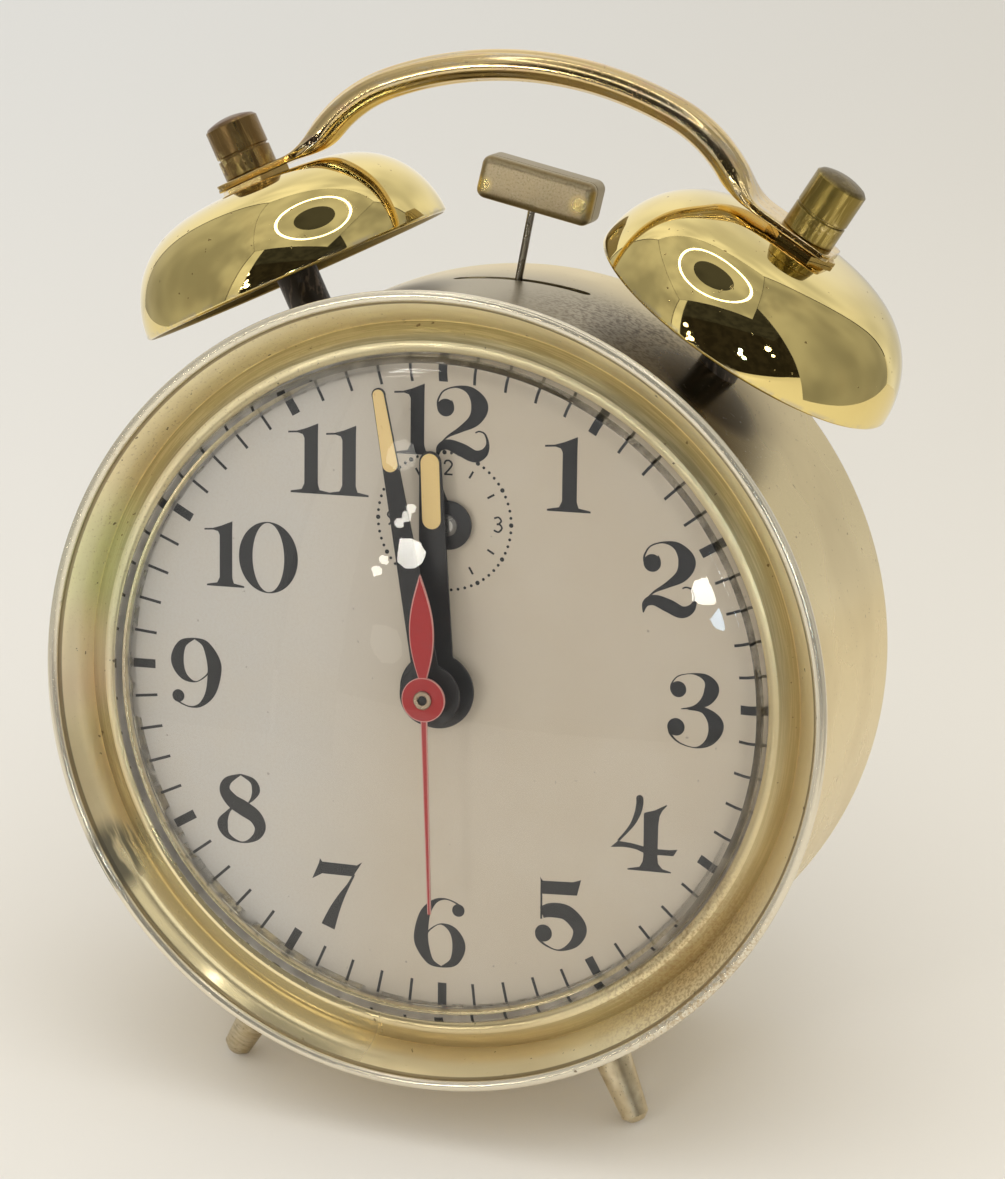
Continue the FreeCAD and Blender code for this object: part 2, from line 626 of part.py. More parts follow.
def hexagonal_nut(flats, bore, low, high):
    """A hexagonal nut along +Z."""
    corner = flats / math.sqrt(3)
    outline = [V(corner * math.cos(math.pi / 3 * side), corner * math.sin(math.pi / 3 * side), low)
               for side in range(7)]
    nut = Part.Face(Part.makePolygon(outline)).extrude(V(0, 0, high - low))
    return nut.cut(Part.makeCylinder(bore, high - low, V(0, 0, low)))


def make_bell_group():
    """Both bells with their posts, nuts and the handle."""
    bell = on_bell_axis(make_bell(), 1)
    post = make_post()
    clamp = hexagonal_nut(BELL_NUT_FLATS, STUD_RADIUS, BELL_TOP + BELL_NUT_SEAT, TAB_TOP - TAB_THICKNESS)
    clamp = on_bell_axis(clamp, 1)
    reach = BELL_OFFSET + LOCK_NUT_FLATS / math.sqrt(3)
    lock_top = math.sqrt(DRUM_BORE ** 2 - reach ** 2) - PRESS_GAP
    lock = hexagonal_nut(LOCK_NUT_FLATS, STUD_RADIUS, lock_top - LOCK_NUT_HEIGHT, lock_top)
    lock = on_bell_axis(lock, 1)
    nodes["right_bell"] = bell
    nodes["left_bell"] = mirrored(bell)
    nodes["right_post"] = post
    nodes["left_post"] = mirrored(post)
    nodes["right_cap_nut"] = on_bell_axis(make_cap_nut(CAP_NUT_HEIGHTS["right"]), 1)
    nodes["left_cap_nut"] = on_bell_axis(make_cap_nut(CAP_NUT_HEIGHTS["left"]), -1)
    nodes["bell_nuts"] = Part.makeCompound([clamp, mirrored(clamp)])
    nodes["post_lock_nuts"] = Part.makeCompound([lock, mirrored(lock)])
    nodes["handle"] = make_handle()


def on_foot_axis(shape):
    """A shape made along +Z moved to the right foot's axis, which points down and outwards."""
    copy = shape.copy()
    copy.rotate(V(0, 0, 0), ALONG_Y, 180 - FOOT_ANGLE)
    copy.translate(V(0, FOOT_DEPTH, 0))
    return copy


def make_feet():
    """Tapered feet with chamfered ends, their studs and the nuts inside the case."""
    shoulder = FOOT_END_DISTANCE - FOOT_CHAMFER
    start = DRUM_RADIUS - 1
    cone = Part.makeCone(FOOT_TOP_RADIUS, FOOT_END_RADIUS, shoulder - start, V(0, 0, start))
    tip = Part.makeCone(FOOT_END_RADIUS, FOOT_END_RADIUS - FOOT_CHAMFER, FOOT_CHAMFER, V(0, 0, shoulder))
    body = on_foot_axis(cone.fuse(tip)).cut(rod(DRUM_RADIUS, DRUM_FRONT, DRUM_REAR))
    stud = Part.makeCylinder(FOOT_STUD_RADIUS, DRUM_RADIUS + 0.5 - FOOT_STUD_END, V(0, 0, FOOT_STUD_END))
    foot = body.fuse(on_foot_axis(stud)).removeSplitter()
    nut = hexagonal_nut(LOCK_NUT_FLATS, FOOT_STUD_RADIUS, FOOT_NUT_TOP - LOCK_NUT_HEIGHT, FOOT_NUT_TOP)
    nut = on_foot_axis(nut)
    nodes["right_foot"] = foot
    nodes["left_foot"] = mirrored(foot)
    nodes["foot_nuts"] = Part.makeCompound([nut, mirrored(nut)])


def make_case():
    """The drum with its hammer slot and the holes for posts and feet, the bezel and crystal."""
    outer, inner = DRUM_RADIUS, DRUM_BORE
    rounded = DRUM_REAR_ROUND
    thin = rounded - DRUM_WALL
    diagonal = math.sqrt(0.5)
    edges = lines([(inner, DRUM_FRONT), (outer, DRUM_FRONT), (outer, DRUM_REAR - rounded)])
    edges.append(arc((outer, DRUM_REAR - rounded),
                     (outer - rounded * (1 - diagonal), DRUM_REAR - rounded * (1 - diagonal)),
                     (outer - rounded, DRUM_REAR)))
    flange = outer - rounded - DRUM_REAR_FLANGE
    edges += lines([(outer - rounded, DRUM_REAR), (flange, DRUM_REAR), (flange, BACK_REAR),
                    (outer - rounded, BACK_REAR)])
    edges.append(arc((outer - rounded, BACK_REAR),
                     (outer - rounded + thin * diagonal, DRUM_REAR - rounded + thin * diagonal),
                     (inner, DRUM_REAR - rounded)))
    edges += lines([(inner, DRUM_REAR - rounded), (inner, DRUM_FRONT)])
    drum = turned(edges)
    reach = (SLOT_LENGTH - SLOT_WIDTH) / 2
    slot_corner = V(-reach, HAMMER_DEPTH - SLOT_WIDTH / 2, DRUM_RADIUS - HOLE_REACH)
    slot = Part.makeBox(2 * reach, SLOT_WIDTH, 2 * HOLE_REACH, slot_corner)
    for side in (-1, 1):
        end = V(side * reach, HAMMER_DEPTH, DRUM_RADIUS - HOLE_REACH)
        slot = slot.fuse(Part.makeCylinder(SLOT_WIDTH / 2, 2 * HOLE_REACH, end))
    drum = drum.cut(slot)
    low, depth = V(0, 0, DRUM_RADIUS - HOLE_REACH), 2 * HOLE_REACH
    stud_hole = on_bell_axis(Part.makeCylinder(STUD_HOLE, depth, low), 1)
    foot_hole = on_foot_axis(Part.makeCylinder(FOOT_STUD_RADIUS + STUD_CLEARANCE, depth, low))
    for hole in (stud_hole, foot_hole):
        drum = drum.cut(hole).cut(mirrored(hole))
    nodes["case_drum"] = drum

    bead = BEAD_CENTRE_RADIUS
    bead_depth = DRUM_FRONT - BEAD_RADIUS
    notch = (bead - BEAD_RADIUS - 0.2, bead_depth + 0.25)
    valley = (BEZEL_VALLEY_RADIUS, -BEZEL_VALLEY_DEPTH)
    crest = (BEZEL_LIP_RADIUS + 1.3, -BEZEL_RING_HEIGHT)
    lip = (BEZEL_LIP_RADIUS, -BEZEL_RING_HEIGHT + 0.6)
    edges = [arc((bead, DRUM_FRONT), (bead + BEAD_RADIUS, bead_depth), (bead, bead_depth - BEAD_RADIUS)),
             arc((bead, bead_depth - BEAD_RADIUS),
                 (bead - BEAD_RADIUS * diagonal, bead_depth - BEAD_RADIUS * diagonal),
                 (bead - BEAD_RADIUS, bead_depth))]
    edges += lines([(bead - BEAD_RADIUS, bead_depth), notch])
    edges.append(arc(notch, ((notch[0] + valley[0]) / 2 - 0.45, (notch[1] + valley[1]) / 2 + 0.3), valley))
    edges.append(arc(valley, ((valley[0] + crest[0]) / 2 - 0.15, (valley[1] + crest[1]) / 2 - 0.35), crest))
    edges.append(arc(crest, (BEZEL_LIP_RADIUS + 0.45, -BEZEL_RING_HEIGHT + 0.08), lip))
    skirt = DRUM_BORE - PRESS_GAP
    edges += lines([lip, (BEZEL_LIP_RADIUS, -CRYSTAL_FLANGE), (BEZEL_SEAT_RADIUS, -CRYSTAL_FLANGE),
                    (BEZEL_SEAT_RADIUS, 0), (skirt - BEZEL_SKIRT_WALL, 0),
                    (skirt - BEZEL_SKIRT_WALL, BEZEL_SKIRT_LENGTH), (skirt, BEZEL_SKIRT_LENGTH),
                    (skirt, DRUM_FRONT), (bead, DRUM_FRONT)])
    nodes["bezel"] = turned(edges)

    side = CRYSTAL_SIDE_RADIUS
    top = -CRYSTAL_RISE
    shoulder = CRYSTAL_SHOULDER
    foot = BEZEL_SEAT_RADIUS - PRESS_GAP

    def dome(reach, low, crown):
        """The front of the crystal from its axis to its shoulder."""
        middle = (reach * 0.55, crown + (low - crown) * 0.55 ** 2)
        return arc((0, crown), middle, (reach, low))

    low = -CRYSTAL_SIDE_HEIGHT - shoulder
    edges = [dome(side - shoulder, low, top)]
    edges.append(arc((side - shoulder, low),
                     (side - shoulder * (1 - diagonal) * 0.9, low + shoulder * (1 - diagonal) * 0.9),
                     (side, -CRYSTAL_SIDE_HEIGHT)))
    edges += lines([(side, -CRYSTAL_SIDE_HEIGHT), (side, -CRYSTAL_FLANGE), (foot, -CRYSTAL_FLANGE),
                    (foot, 0), (side - CRYSTAL_WALL, 0), (side - CRYSTAL_WALL, -CRYSTAL_SIDE_HEIGHT)])
    inner_low = low + CRYSTAL_WALL
    edges.append(Part.LineSegment(V(side - CRYSTAL_WALL, -CRYSTAL_SIDE_HEIGHT, 0),
                                  V(side - shoulder, inner_low, 0)).toShape())
    edges.append(dome(side - shoulder, inner_low, top + CRYSTAL_WALL))
    edges += lines([(0, top + CRYSTAL_WALL), (0, top)])
    nodes["crystal"] = turned(Part.__sortEdges__(edges))

    dial = rod(DIAL_RADIUS, 0, DIAL_THICKNESS)
    dial = dial.cut(rod(DIAL_CENTRE_HOLE, -1, 2))
    dial = dial.cut(rod(ALARM_ARBOR_RADIUS + 0.3, -1, 2, ALARM_PLACE))
    nodes["dial"] = in_case(dial)


def in_case(shape):
    """A piece of the movement frame turned to where it sits in the case frame."""
    return turn_about(shape, -DIAL_TURN)


def make_frame():
    """Plates, pillars, nuts, spacers, screws, dial feet and the back cover."""
    pivots = [THIRD_PLACE, PALLET_PLACE, BALANCE_PLACE, ALARM_SECOND_PLACE, ALARM_ESCAPE_PLACE,
              HAMMER_PIVOT]
    front = rod(PLATE_RADIUS, FRONT_PLATE_FRONT, FRONT_PLATE_REAR)
    rear = rod(PLATE_RADIUS, REAR_PLATE_FRONT, REAR_PLATE_REAR)
    holes = [(place, PIVOT_HOLE) for place in pivots]
    holes += [(place, PILLAR_THREAD_RADIUS) for place in PILLAR_PLACES]
    holes += [(MINUTE_WHEEL_PLACE, ARBOR_RADIUS + RUNNING_GAP),
              (ALARM_PLACE, ALARM_ARBOR_RADIUS + RUNNING_GAP)]
    holes += [(TIME_BARREL_PLACE, WINDING_ARBOR_RADIUS + RUNNING_GAP),
              (ALARM_BARREL_PLACE, WINDING_ARBOR_RADIUS + RUNNING_GAP)]
    for place, radius in holes:
        front = front.cut(rod(radius, FRONT_PLATE_FRONT - 1, FRONT_PLATE_REAR + 1, place))
        rear = rear.cut(rod(radius, REAR_PLATE_FRONT - 1, REAR_PLATE_REAR + 1, place))
    front = front.cut(rod(HOLLOW_RADIUS + RUNNING_GAP, 0, FRONT_PLATE_REAR + 1))
    for place in (STATION, ESCAPE_PLACE):
        rear = rear.cut(rod(PIVOT_HOLE, REAR_PLATE_FRONT - 1, REAR_PLATE_REAR + 1, place))
    rear = rear.cut(rod(STOP_RADIUS + RUNNING_GAP, REAR_PLATE_FRONT - 1, REAR_PLATE_REAR + 1, STOP_PLACE))
    nodes["front_plate"] = in_case(front)
    nodes["rear_plate"] = in_case(rear)

    pillars, nuts, spacers, screws = [], [], [], []
    for place in PILLAR_PLACES:
        pillar = rod(PILLAR_RADIUS, FRONT_PLATE_REAR, REAR_PLATE_FRONT, place)
        rear_end = REAR_PLATE_REAR + PILLAR_NUT_HEIGHT
        stud = rod(PILLAR_THREAD_RADIUS, FRONT_PLATE_FRONT - PILLAR_NUT_HEIGHT, rear_end, place)
        pillars.append(in_case(pillar.fuse(stud)))
        for start in (FRONT_PLATE_FRONT - PILLAR_NUT_HEIGHT, REAR_PLATE_REAR):
            if start > FRONT_PLATE_FRONT and place in SPACER_PLACES:
                continue
            nut = hexagon(PILLAR_NUT_FLATS, start, start + PILLAR_NUT_HEIGHT, place)
            nut = nut.cut(rod(PILLAR_THREAD_RADIUS, start - 1, start + PILLAR_NUT_HEIGHT + 1, place))
            nuts.append(in_case(nut))
    for place in SPACER_PLACES:
        spacer = rod(SPACER_RADIUS, REAR_PLATE_REAR, BACK_FRONT, place)
        thread_end = REAR_PLATE_REAR + PILLAR_NUT_HEIGHT
        spacer = spacer.cut(rod(PILLAR_THREAD_RADIUS, REAR_PLATE_REAR, thread_end, place))
        spacer = spacer.cut(rod(BACK_SCREW_RADIUS, BACK_FRONT - 3, BACK_FRONT, place))
        spacers.append(in_case(spacer))
        head = rod(BACK_SCREW_HEAD_RADIUS, BACK_REAR, BACK_REAR + BACK_SCREW_HEAD_HEIGHT, place)
        groove = Part.makeBox(3 * BACK_SCREW_HEAD_RADIUS, 1, BACK_SCREW_SLOT,
                              V(place[0] - 1.5 * BACK_SCREW_HEAD_RADIUS,
                                BACK_REAR + BACK_SCREW_HEAD_HEIGHT - 0.5, place[1] - BACK_SCREW_SLOT / 2))
        shank = rod(BACK_SCREW_RADIUS, BACK_FRONT - 3, BACK_REAR, place)
        screws.append(in_case(head.cut(groove).fuse(shank)))
    nodes["movement_pillars"] = Part.makeCompound(pillars)
    nodes["pillar_nuts"] = Part.makeCompound(nuts)
    nodes["back_spacers"] = Part.makeCompound(spacers)
    nodes["back_screws"] = Part.makeCompound(screws)
    places = [polar(DIAL_FEET_CIRCLE, angle) for angle in DIAL_FOOT_ANGLES]
    feet = [in_case(rod(DIAL_FOOT_RADIUS, DIAL_THICKNESS, FRONT_PLATE_FRONT, place)) for place in places]
    nodes["dial_feet"] = Part.makeCompound(feet)

    back = rod(DRUM_BORE - BACK_EDGE_GAP - DRUM_REAR_ROUND + DRUM_WALL, BACK_FRONT, BACK_REAR)
    arbor_hole = WINDING_ARBOR_RADIUS + 0.6
    openings = [(TIME_BARREL_PLACE, arbor_hole), (ALARM_BARREL_PLACE, arbor_hole),
                (MINUTE_WHEEL_PLACE, ARBOR_RADIUS + 0.5), (ALARM_PLACE, ALARM_ARBOR_RADIUS + 0.5),
                (STOP_PLACE, STOP_RADIUS + 0.3)]
    openings += [(place, BACK_SCREW_RADIUS) for place in SPACER_PLACES]
    for place, radius in openings:
        back = back.cut(rod(radius, BACK_FRONT - 1, BACK_REAR + 1, place))
    reach = REGULATOR_LENGTH
    half_width = REGULATOR_WIDTH / 2 + 0.4
    sector = tube(reach + 0.9, reach - 0.9, BACK_FRONT - 1, BACK_REAR + 1, BALANCE_PLACE)
    swing = REGULATOR_SWING + math.degrees(half_width / reach)
    wedge = [BALANCE_PLACE]
    wedge += [polar(2 * reach, REGULATOR_ANGLE + swing * step / 4, BALANCE_PLACE) for step in range(-4, 5)]
    sector = sector.common(plate(wedge, BACK_FRONT - 2, BACK_REAR + 2))
    nodes["back_cover"] = in_case(back.cut(sector))


def make_barrel(place, layer, teeth, phase):
    """A great wheel with its spring barrel behind it, bored for the winding arbor."""
    wheel = gear(teeth, GREAT_MODULE, layer, place, phase, 1.0)
    start = layer + 0.5
    drum = tube(BARREL_RADIUS, BARREL_RADIUS - BARREL_WALL, start, start + BARREL_HEIGHT, place)
    lid = rod(BARREL_RADIUS, start + BARREL_HEIGHT - BARREL_WALL, start + BARREL_HEIGHT, place)
    barrel = wheel.fuse(drum).fuse(lid)
    bore = WINDING_ARBOR_RADIUS + RUNNING_GAP
    return barrel.cut(rod(bore, layer - 2, start + BARREL_HEIGHT + 1, place)).removeSplitter()


def make_winding(name, place, layer, teeth, phase, key_turn):
    """A barrel, its mainspring, the winding arbor with its ratchet, the click and the key."""
    nodes[name + "_barrel"] = in_case(make_barrel(place, layer, teeth, phase))
    start = layer + 0.5
    outer = BARREL_RADIUS - BARREL_WALL - MAINSPRING_THICKNESS / 2 - 0.02
    end = start + BARREL_HEIGHT - BARREL_WALL
    spring = spiral(place, WINDING_ARBOR_RADIUS + 0.7, outer, MAINSPRING_TURNS, MAINSPRING_THICKNESS,
                    start + 0.3, end - 0.3)
    nodes[name + "_mainspring"] = in_case(spring)

    shaft = rod(WINDING_ARBOR_RADIUS, FRONT_PLATE_FRONT, RATCHET_LAYER + RATCHET_THICKNESS, place)
    collar = rod(WINDING_ARBOR_RADIUS + 0.8, layer - 1.0, layer - 0.5 - END_SHAKE, place)
    square = Part.makeBox(KEY_SQUARE, KEY_START + KEY_BOSS_LENGTH - 2.5 - RATCHET_LAYER, KEY_SQUARE,
                          V(place[0] - KEY_SQUARE / 2, RATCHET_LAYER, place[1] - KEY_SQUARE / 2))
    square = turn_about(square, key_turn, place)
    outline = []
    step = 360.0 / RATCHET_TEETH
    for tooth in range(RATCHET_TEETH):
        outline.append(polar(RATCHET_RADIUS, 90 + step * tooth, place))
        outline.append(polar(RATCHET_RADIUS - 0.9, 90 + step * tooth - 0.08 * step, place))
    ratchet = plate(outline[::-1], RATCHET_LAYER, RATCHET_LAYER + RATCHET_THICKNESS)
    nodes[name + "_winding_arbor"] = in_case(shaft.fuse(collar).fuse(ratchet).fuse(square).removeSplitter())

    low = place[1] + RATCHET_RADIUS + CLICK_GAP
    tip = place[0]
    hinge = click_hinge(place)
    beak = [(tip - 0.2, low), (tip + 1.6, low + 0.7), (tip + CLICK_LENGTH, low + 0.6),
            (tip + CLICK_LENGTH, low + 2.4), (tip - 0.2, low + 1.2)]
    click = plate(beak, RATCHET_LAYER, RATCHET_LAYER + RATCHET_THICKNESS)
    click = click.fuse(rod(1.4, RATCHET_LAYER, RATCHET_LAYER + RATCHET_THICKNESS, hinge))
    click = click.cut(rod(ARBOR_RADIUS + RUNNING_GAP, RATCHET_LAYER - 1, RATCHET_LAYER + 3, hinge))
    nodes[name + "_click"] = in_case(click.removeSplitter())

    nodes[name + "_key"] = in_case(turn_about(key(place), key_turn, place).cut(square))


def click_hinge(place):
    """Where a click turns, beside the ratchet at a place."""
    return (place[0] + CLICK_LENGTH, place[1] + RATCHET_RADIUS + CLICK_GAP + 1.5)


def make_click_screws():
    """The shouldered screws on the rear plate that the clicks turn on."""
    screws = []
    top = RATCHET_LAYER + RATCHET_THICKNESS
    for place in (TIME_BARREL_PLACE, ALARM_BARREL_PLACE):
        hinge = click_hinge(place)
        shank = rod(ARBOR_RADIUS, REAR_PLATE_REAR, top + 0.3, hinge)
        seat = rod(1.5, REAR_PLATE_REAR, RATCHET_LAYER - 0.1, hinge)
        head = rod(1.5, top + 0.1, top + 0.9, hinge)
        screws.append(in_case(shank.fuse(seat).fuse(head)))
    nodes["click_screws"] = Part.makeCompound(screws)


def make_going_train():
    """Centre, third, fourth and escape wheels, with the pallets, balance and hairspring."""
    great_phase, centre_phase = wheel_and_pinion(TIME_BARREL_PLACE, STATION, CENTRE_PINION_TEETH)
    make_winding("time", TIME_BARREL_PLACE, GREAT_LAYER, GREAT_TEETH, great_phase, 25)
    wheel_phase, third_pinion_phase = wheel_and_pinion(STATION, THIRD_PLACE, THIRD_PINION_TEETH)
    centre = gear(CENTRE_TEETH, CENTRE_MODULE, CENTRE_LAYER, STATION, wheel_phase)
    centre = crossed_out(centre, 3.4, CENTRE_TEETH * CENTRE_MODULE / 2 - 1.8, STATION, CENTRE_LAYER)
    pinion = gear(CENTRE_PINION_TEETH, GREAT_MODULE, GREAT_LAYER, STATION, centre_phase, 2.2, True)
    sleeve = rod(HOLLOW_RADIUS, MINUTE_HAND_LAYER + 0.8, CENTRE_LAYER + 0.7)
    collar = rod(HOLLOW_RADIUS + 0.7, FRONT_PLATE_REAR + END_SHAKE, CENTRE_LAYER)
    centre = centre.fuse(pinion).fuse(sleeve).fuse(collar)
    nodes["centre_wheel"] = in_case(centre.cut(rod(HOLLOW_BORE, *ALL_DEPTHS)).removeSplitter())

    third_phase, fourth_pinion_phase = wheel_and_pinion(THIRD_PLACE, STATION, FOURTH_PINION_TEETH)
    third = gear(THIRD_TEETH, THIRD_MODULE, THIRD_LAYER, THIRD_PLACE, third_phase)
    third = crossed_out(third, 2.6, THIRD_TEETH * THIRD_MODULE / 2 - 1.8, THIRD_PLACE, THIRD_LAYER)
    pinion = gear(THIRD_PINION_TEETH, CENTRE_MODULE, CENTRE_LAYER, THIRD_PLACE, third_pinion_phase,
                  1.6, True)
    nodes["third_wheel"] = in_case(third.fuse(pinion).fuse(arbor(THIRD_PLACE)).removeSplitter())

    fourth_phase, escape_pinion_phase = wheel_and_pinion(STATION, ESCAPE_PLACE, ESCAPE_PINION_TEETH)
    fourth = gear(FOURTH_TEETH, FOURTH_MODULE, FOURTH_LAYER, STATION, fourth_phase)
    fourth = crossed_out(fourth, 2.4, FOURTH_TEETH * FOURTH_MODULE / 2 - 1.6, STATION, FOURTH_LAYER)
    pinion = gear(FOURTH_PINION_TEETH, THIRD_MODULE, THIRD_LAYER, STATION, fourth_pinion_phase, 1.6, True)
    spindle = rod(SECONDS_ARBOR_RADIUS, SECONDS_HAND_LAYER, REAR_PLATE_REAR)
    collar = rod(ARBOR_RADIUS + 0.1, CENTRE_LAYER + 0.9, REAR_PLATE_FRONT - END_SHAKE)
    nodes["seconds_arbor"] = in_case(fourth.fuse(pinion).fuse(collar).fuse(spindle).removeSplitter())

    tip_step = 360.0 / ESCAPE_TEETH
    outline = []
    for tooth in range(ESCAPE_TEETH):
        angle = tip_step * tooth
        outline.append(polar(ESCAPE_RADIUS, angle, ESCAPE_PLACE))
        outline.append(polar(ESCAPE_RADIUS, angle + 1.6, ESCAPE_PLACE))
        outline.append(polar(ESCAPE_RADIUS - 1.7, angle + 0.45 * tip_step, ESCAPE_PLACE))
        outline.append(polar(ESCAPE_RADIUS - 1.7, angle + 0.75 * tip_step, ESCAPE_PLACE))
    escape = plate(outline, ESCAPE_LAYER - 0.3, ESCAPE_LAYER + 0.3)
    escape = crossed_out(escape, 1.9, ESCAPE_RADIUS - 2.5, ESCAPE_PLACE, ESCAPE_LAYER, 4, 0.9)
    pinion = gear(ESCAPE_PINION_TEETH, FOURTH_MODULE, FOURTH_LAYER, ESCAPE_PLACE, escape_pinion_phase,
                  1.6, True)
    low, high = ESCAPE_BRIDGE_LAYER - PLATE_THICKNESS / 2, ESCAPE_BRIDGE_LAYER + PLATE_THICKNESS / 2
    shaft = arbor(ESCAPE_PLACE, low, REAR_PLATE_REAR, high)
    nodes["escape_wheel"] = in_case(escape.fuse(pinion).fuse(shaft).removeSplitter())
    bridge = bar_between(ESCAPE_PLACE, ESCAPE_BRIDGE_FOOT, 2 * ESCAPE_BRIDGE_RADIUS, low, high)
    bridge = bridge.fuse(rod(ESCAPE_BRIDGE_RADIUS, low, high, ESCAPE_PLACE))
    bridge = bridge.fuse(rod(ESCAPE_BRIDGE_RADIUS, FRONT_PLATE_REAR, high, ESCAPE_BRIDGE_FOOT))
    bridge = bridge.cut(rod(PIVOT_HOLE, FRONT_PLATE_REAR, REAR_PLATE_FRONT, ESCAPE_PLACE))
    nodes["escape_bridge"] = in_case(bridge.removeSplitter())
    make_escapement()


def bar_between(first, last, width, start, end):
    """A straight flat bar between two places of the XZ plane."""
    angle = towards(first, last)
    corners = [polar(width / 2, angle + 90, first), polar(width / 2, angle + 90, last),
               polar(width / 2, angle - 90, last), polar(width / 2, angle - 90, first)]
    return plate(corners, start, end)


def make_escapement():
    """Pallets, balance and hairspring with the stud that holds its outer end, and the regulator."""
    low, high = ESCAPE_LAYER - 0.3, ESCAPE_LAYER + 0.3
    to_escape = towards(PALLET_PLACE, ESCAPE_PLACE)
    to_balance = towards(PALLET_PLACE, BALANCE_PLACE)
    lever = rod(1.7, low, high, PALLET_PLACE)
    fork = polar(7.4, to_balance, PALLET_PLACE)
    lever = lever.fuse(bar_between(PALLET_PLACE, fork, 1.1, low, high))
    for side in (-1, 1):
        horn = polar(1.9, to_balance + side * 28, fork)
        lever = lever.fuse(bar_between(fork, horn, 0.8, low, high))
        elbow = polar(ESCAPE_RADIUS + 1.3, towards(ESCAPE_PLACE, PALLET_PLACE) + side * 34, ESCAPE_PLACE)
        lever = lever.fuse(bar_between(PALLET_PLACE, elbow, 1.1, low, high))
        lever = lever.fuse(rod(0.55, low - 0.9, high, elbow))
    nodes["pallet_lever"] = in_case(lever.fuse(arbor(PALLET_PLACE)).removeSplitter())

    rim = tube(BALANCE_RADIUS, BALANCE_RADIUS - BALANCE_RIM, BALANCE_LAYER - 0.7, BALANCE_LAYER + 0.7,
               BALANCE_PLACE)
    arms = bar_between(polar(BALANCE_RADIUS - 0.5, to_escape + 90, BALANCE_PLACE),
                       polar(BALANCE_RADIUS - 0.5, to_escape - 90, BALANCE_PLACE), 1.8,
                       BALANCE_LAYER - 0.4, BALANCE_LAYER + 0.4)
    roller = rod(1.6, BALANCE_LAYER, BALANCE_LAYER + 0.8, BALANCE_PLACE)
    pin = rod(0.3, BALANCE_LAYER + 0.4, BALANCE_LAYER + 1.1, polar(1.2, to_balance + 180, BALANCE_PLACE))
    collet = rod(1.3, HAIRSPRING_LAYER - 0.5, HAIRSPRING_LAYER + 0.5, BALANCE_PLACE)
    staff = arbor(BALANCE_PLACE)
    balance = rim.fuse(arms).fuse(roller).fuse(pin).fuse(collet).fuse(staff)
    nodes["balance_wheel"] = in_case(balance.removeSplitter())

    spring = spiral(BALANCE_PLACE, HAIRSPRING_INNER, HAIRSPRING_OUTER, HAIRSPRING_TURNS,
                    HAIRSPRING_THICKNESS, HAIRSPRING_LAYER - 0.3, HAIRSPRING_LAYER + 0.3, REGULATOR_ANGLE)
    nodes["hairspring"] = in_case(spring)
    stud_place = polar(HAIRSPRING_OUTER + HAIRSPRING_THICKNESS / 2 + 0.7, REGULATOR_ANGLE, BALANCE_PLACE)
    stud = rod(0.7, FRONT_PLATE_FRONT, HAIRSPRING_LAYER + 0.6, stud_place)
    nodes["front_plate"] = nodes["front_plate"].fuse(in_case(stud)).removeSplitter()

    ring = tube(2.6, 1.3, REGULATOR_LAYER - 0.3, REGULATOR_LAYER + 0.3, BALANCE_PLACE)
    end = polar(REGULATOR_LENGTH, REGULATOR_ANGLE, BALANCE_PLACE)
    start = polar(2.0, REGULATOR_ANGLE, BALANCE_PLACE)
    arm = bar_between(start, end, REGULATOR_WIDTH, REGULATOR_LAYER - 0.3, REGULATOR_LAYER + 0.3)
    tab = bar_between(polar(REGULATOR_LENGTH - 0.6, REGULATOR_ANGLE, BALANCE_PLACE), end, REGULATOR_WIDTH,
                      REGULATOR_LAYER - 0.3, REGULATOR_TAB_END)
    nodes["regulator_lever"] = in_case(ring.fuse(arm).fuse(tab).removeSplitter())
    boss = rod(1.2, REAR_PLATE_REAR, REGULATOR_LAYER + 0.4, BALANCE_PLACE)
    boss = boss.fuse(rod(2.2, REGULATOR_LAYER + 0.4, REGULATOR_LAYER + 1.2, BALANCE_PLACE))
    boss = boss.fuse(rod(2.2, REAR_PLATE_REAR, REGULATOR_LAYER - 0.4, BALANCE_PLACE))
    nodes["rear_plate"] = nodes["rear_plate"].fuse(in_case(boss)).removeSplitter()


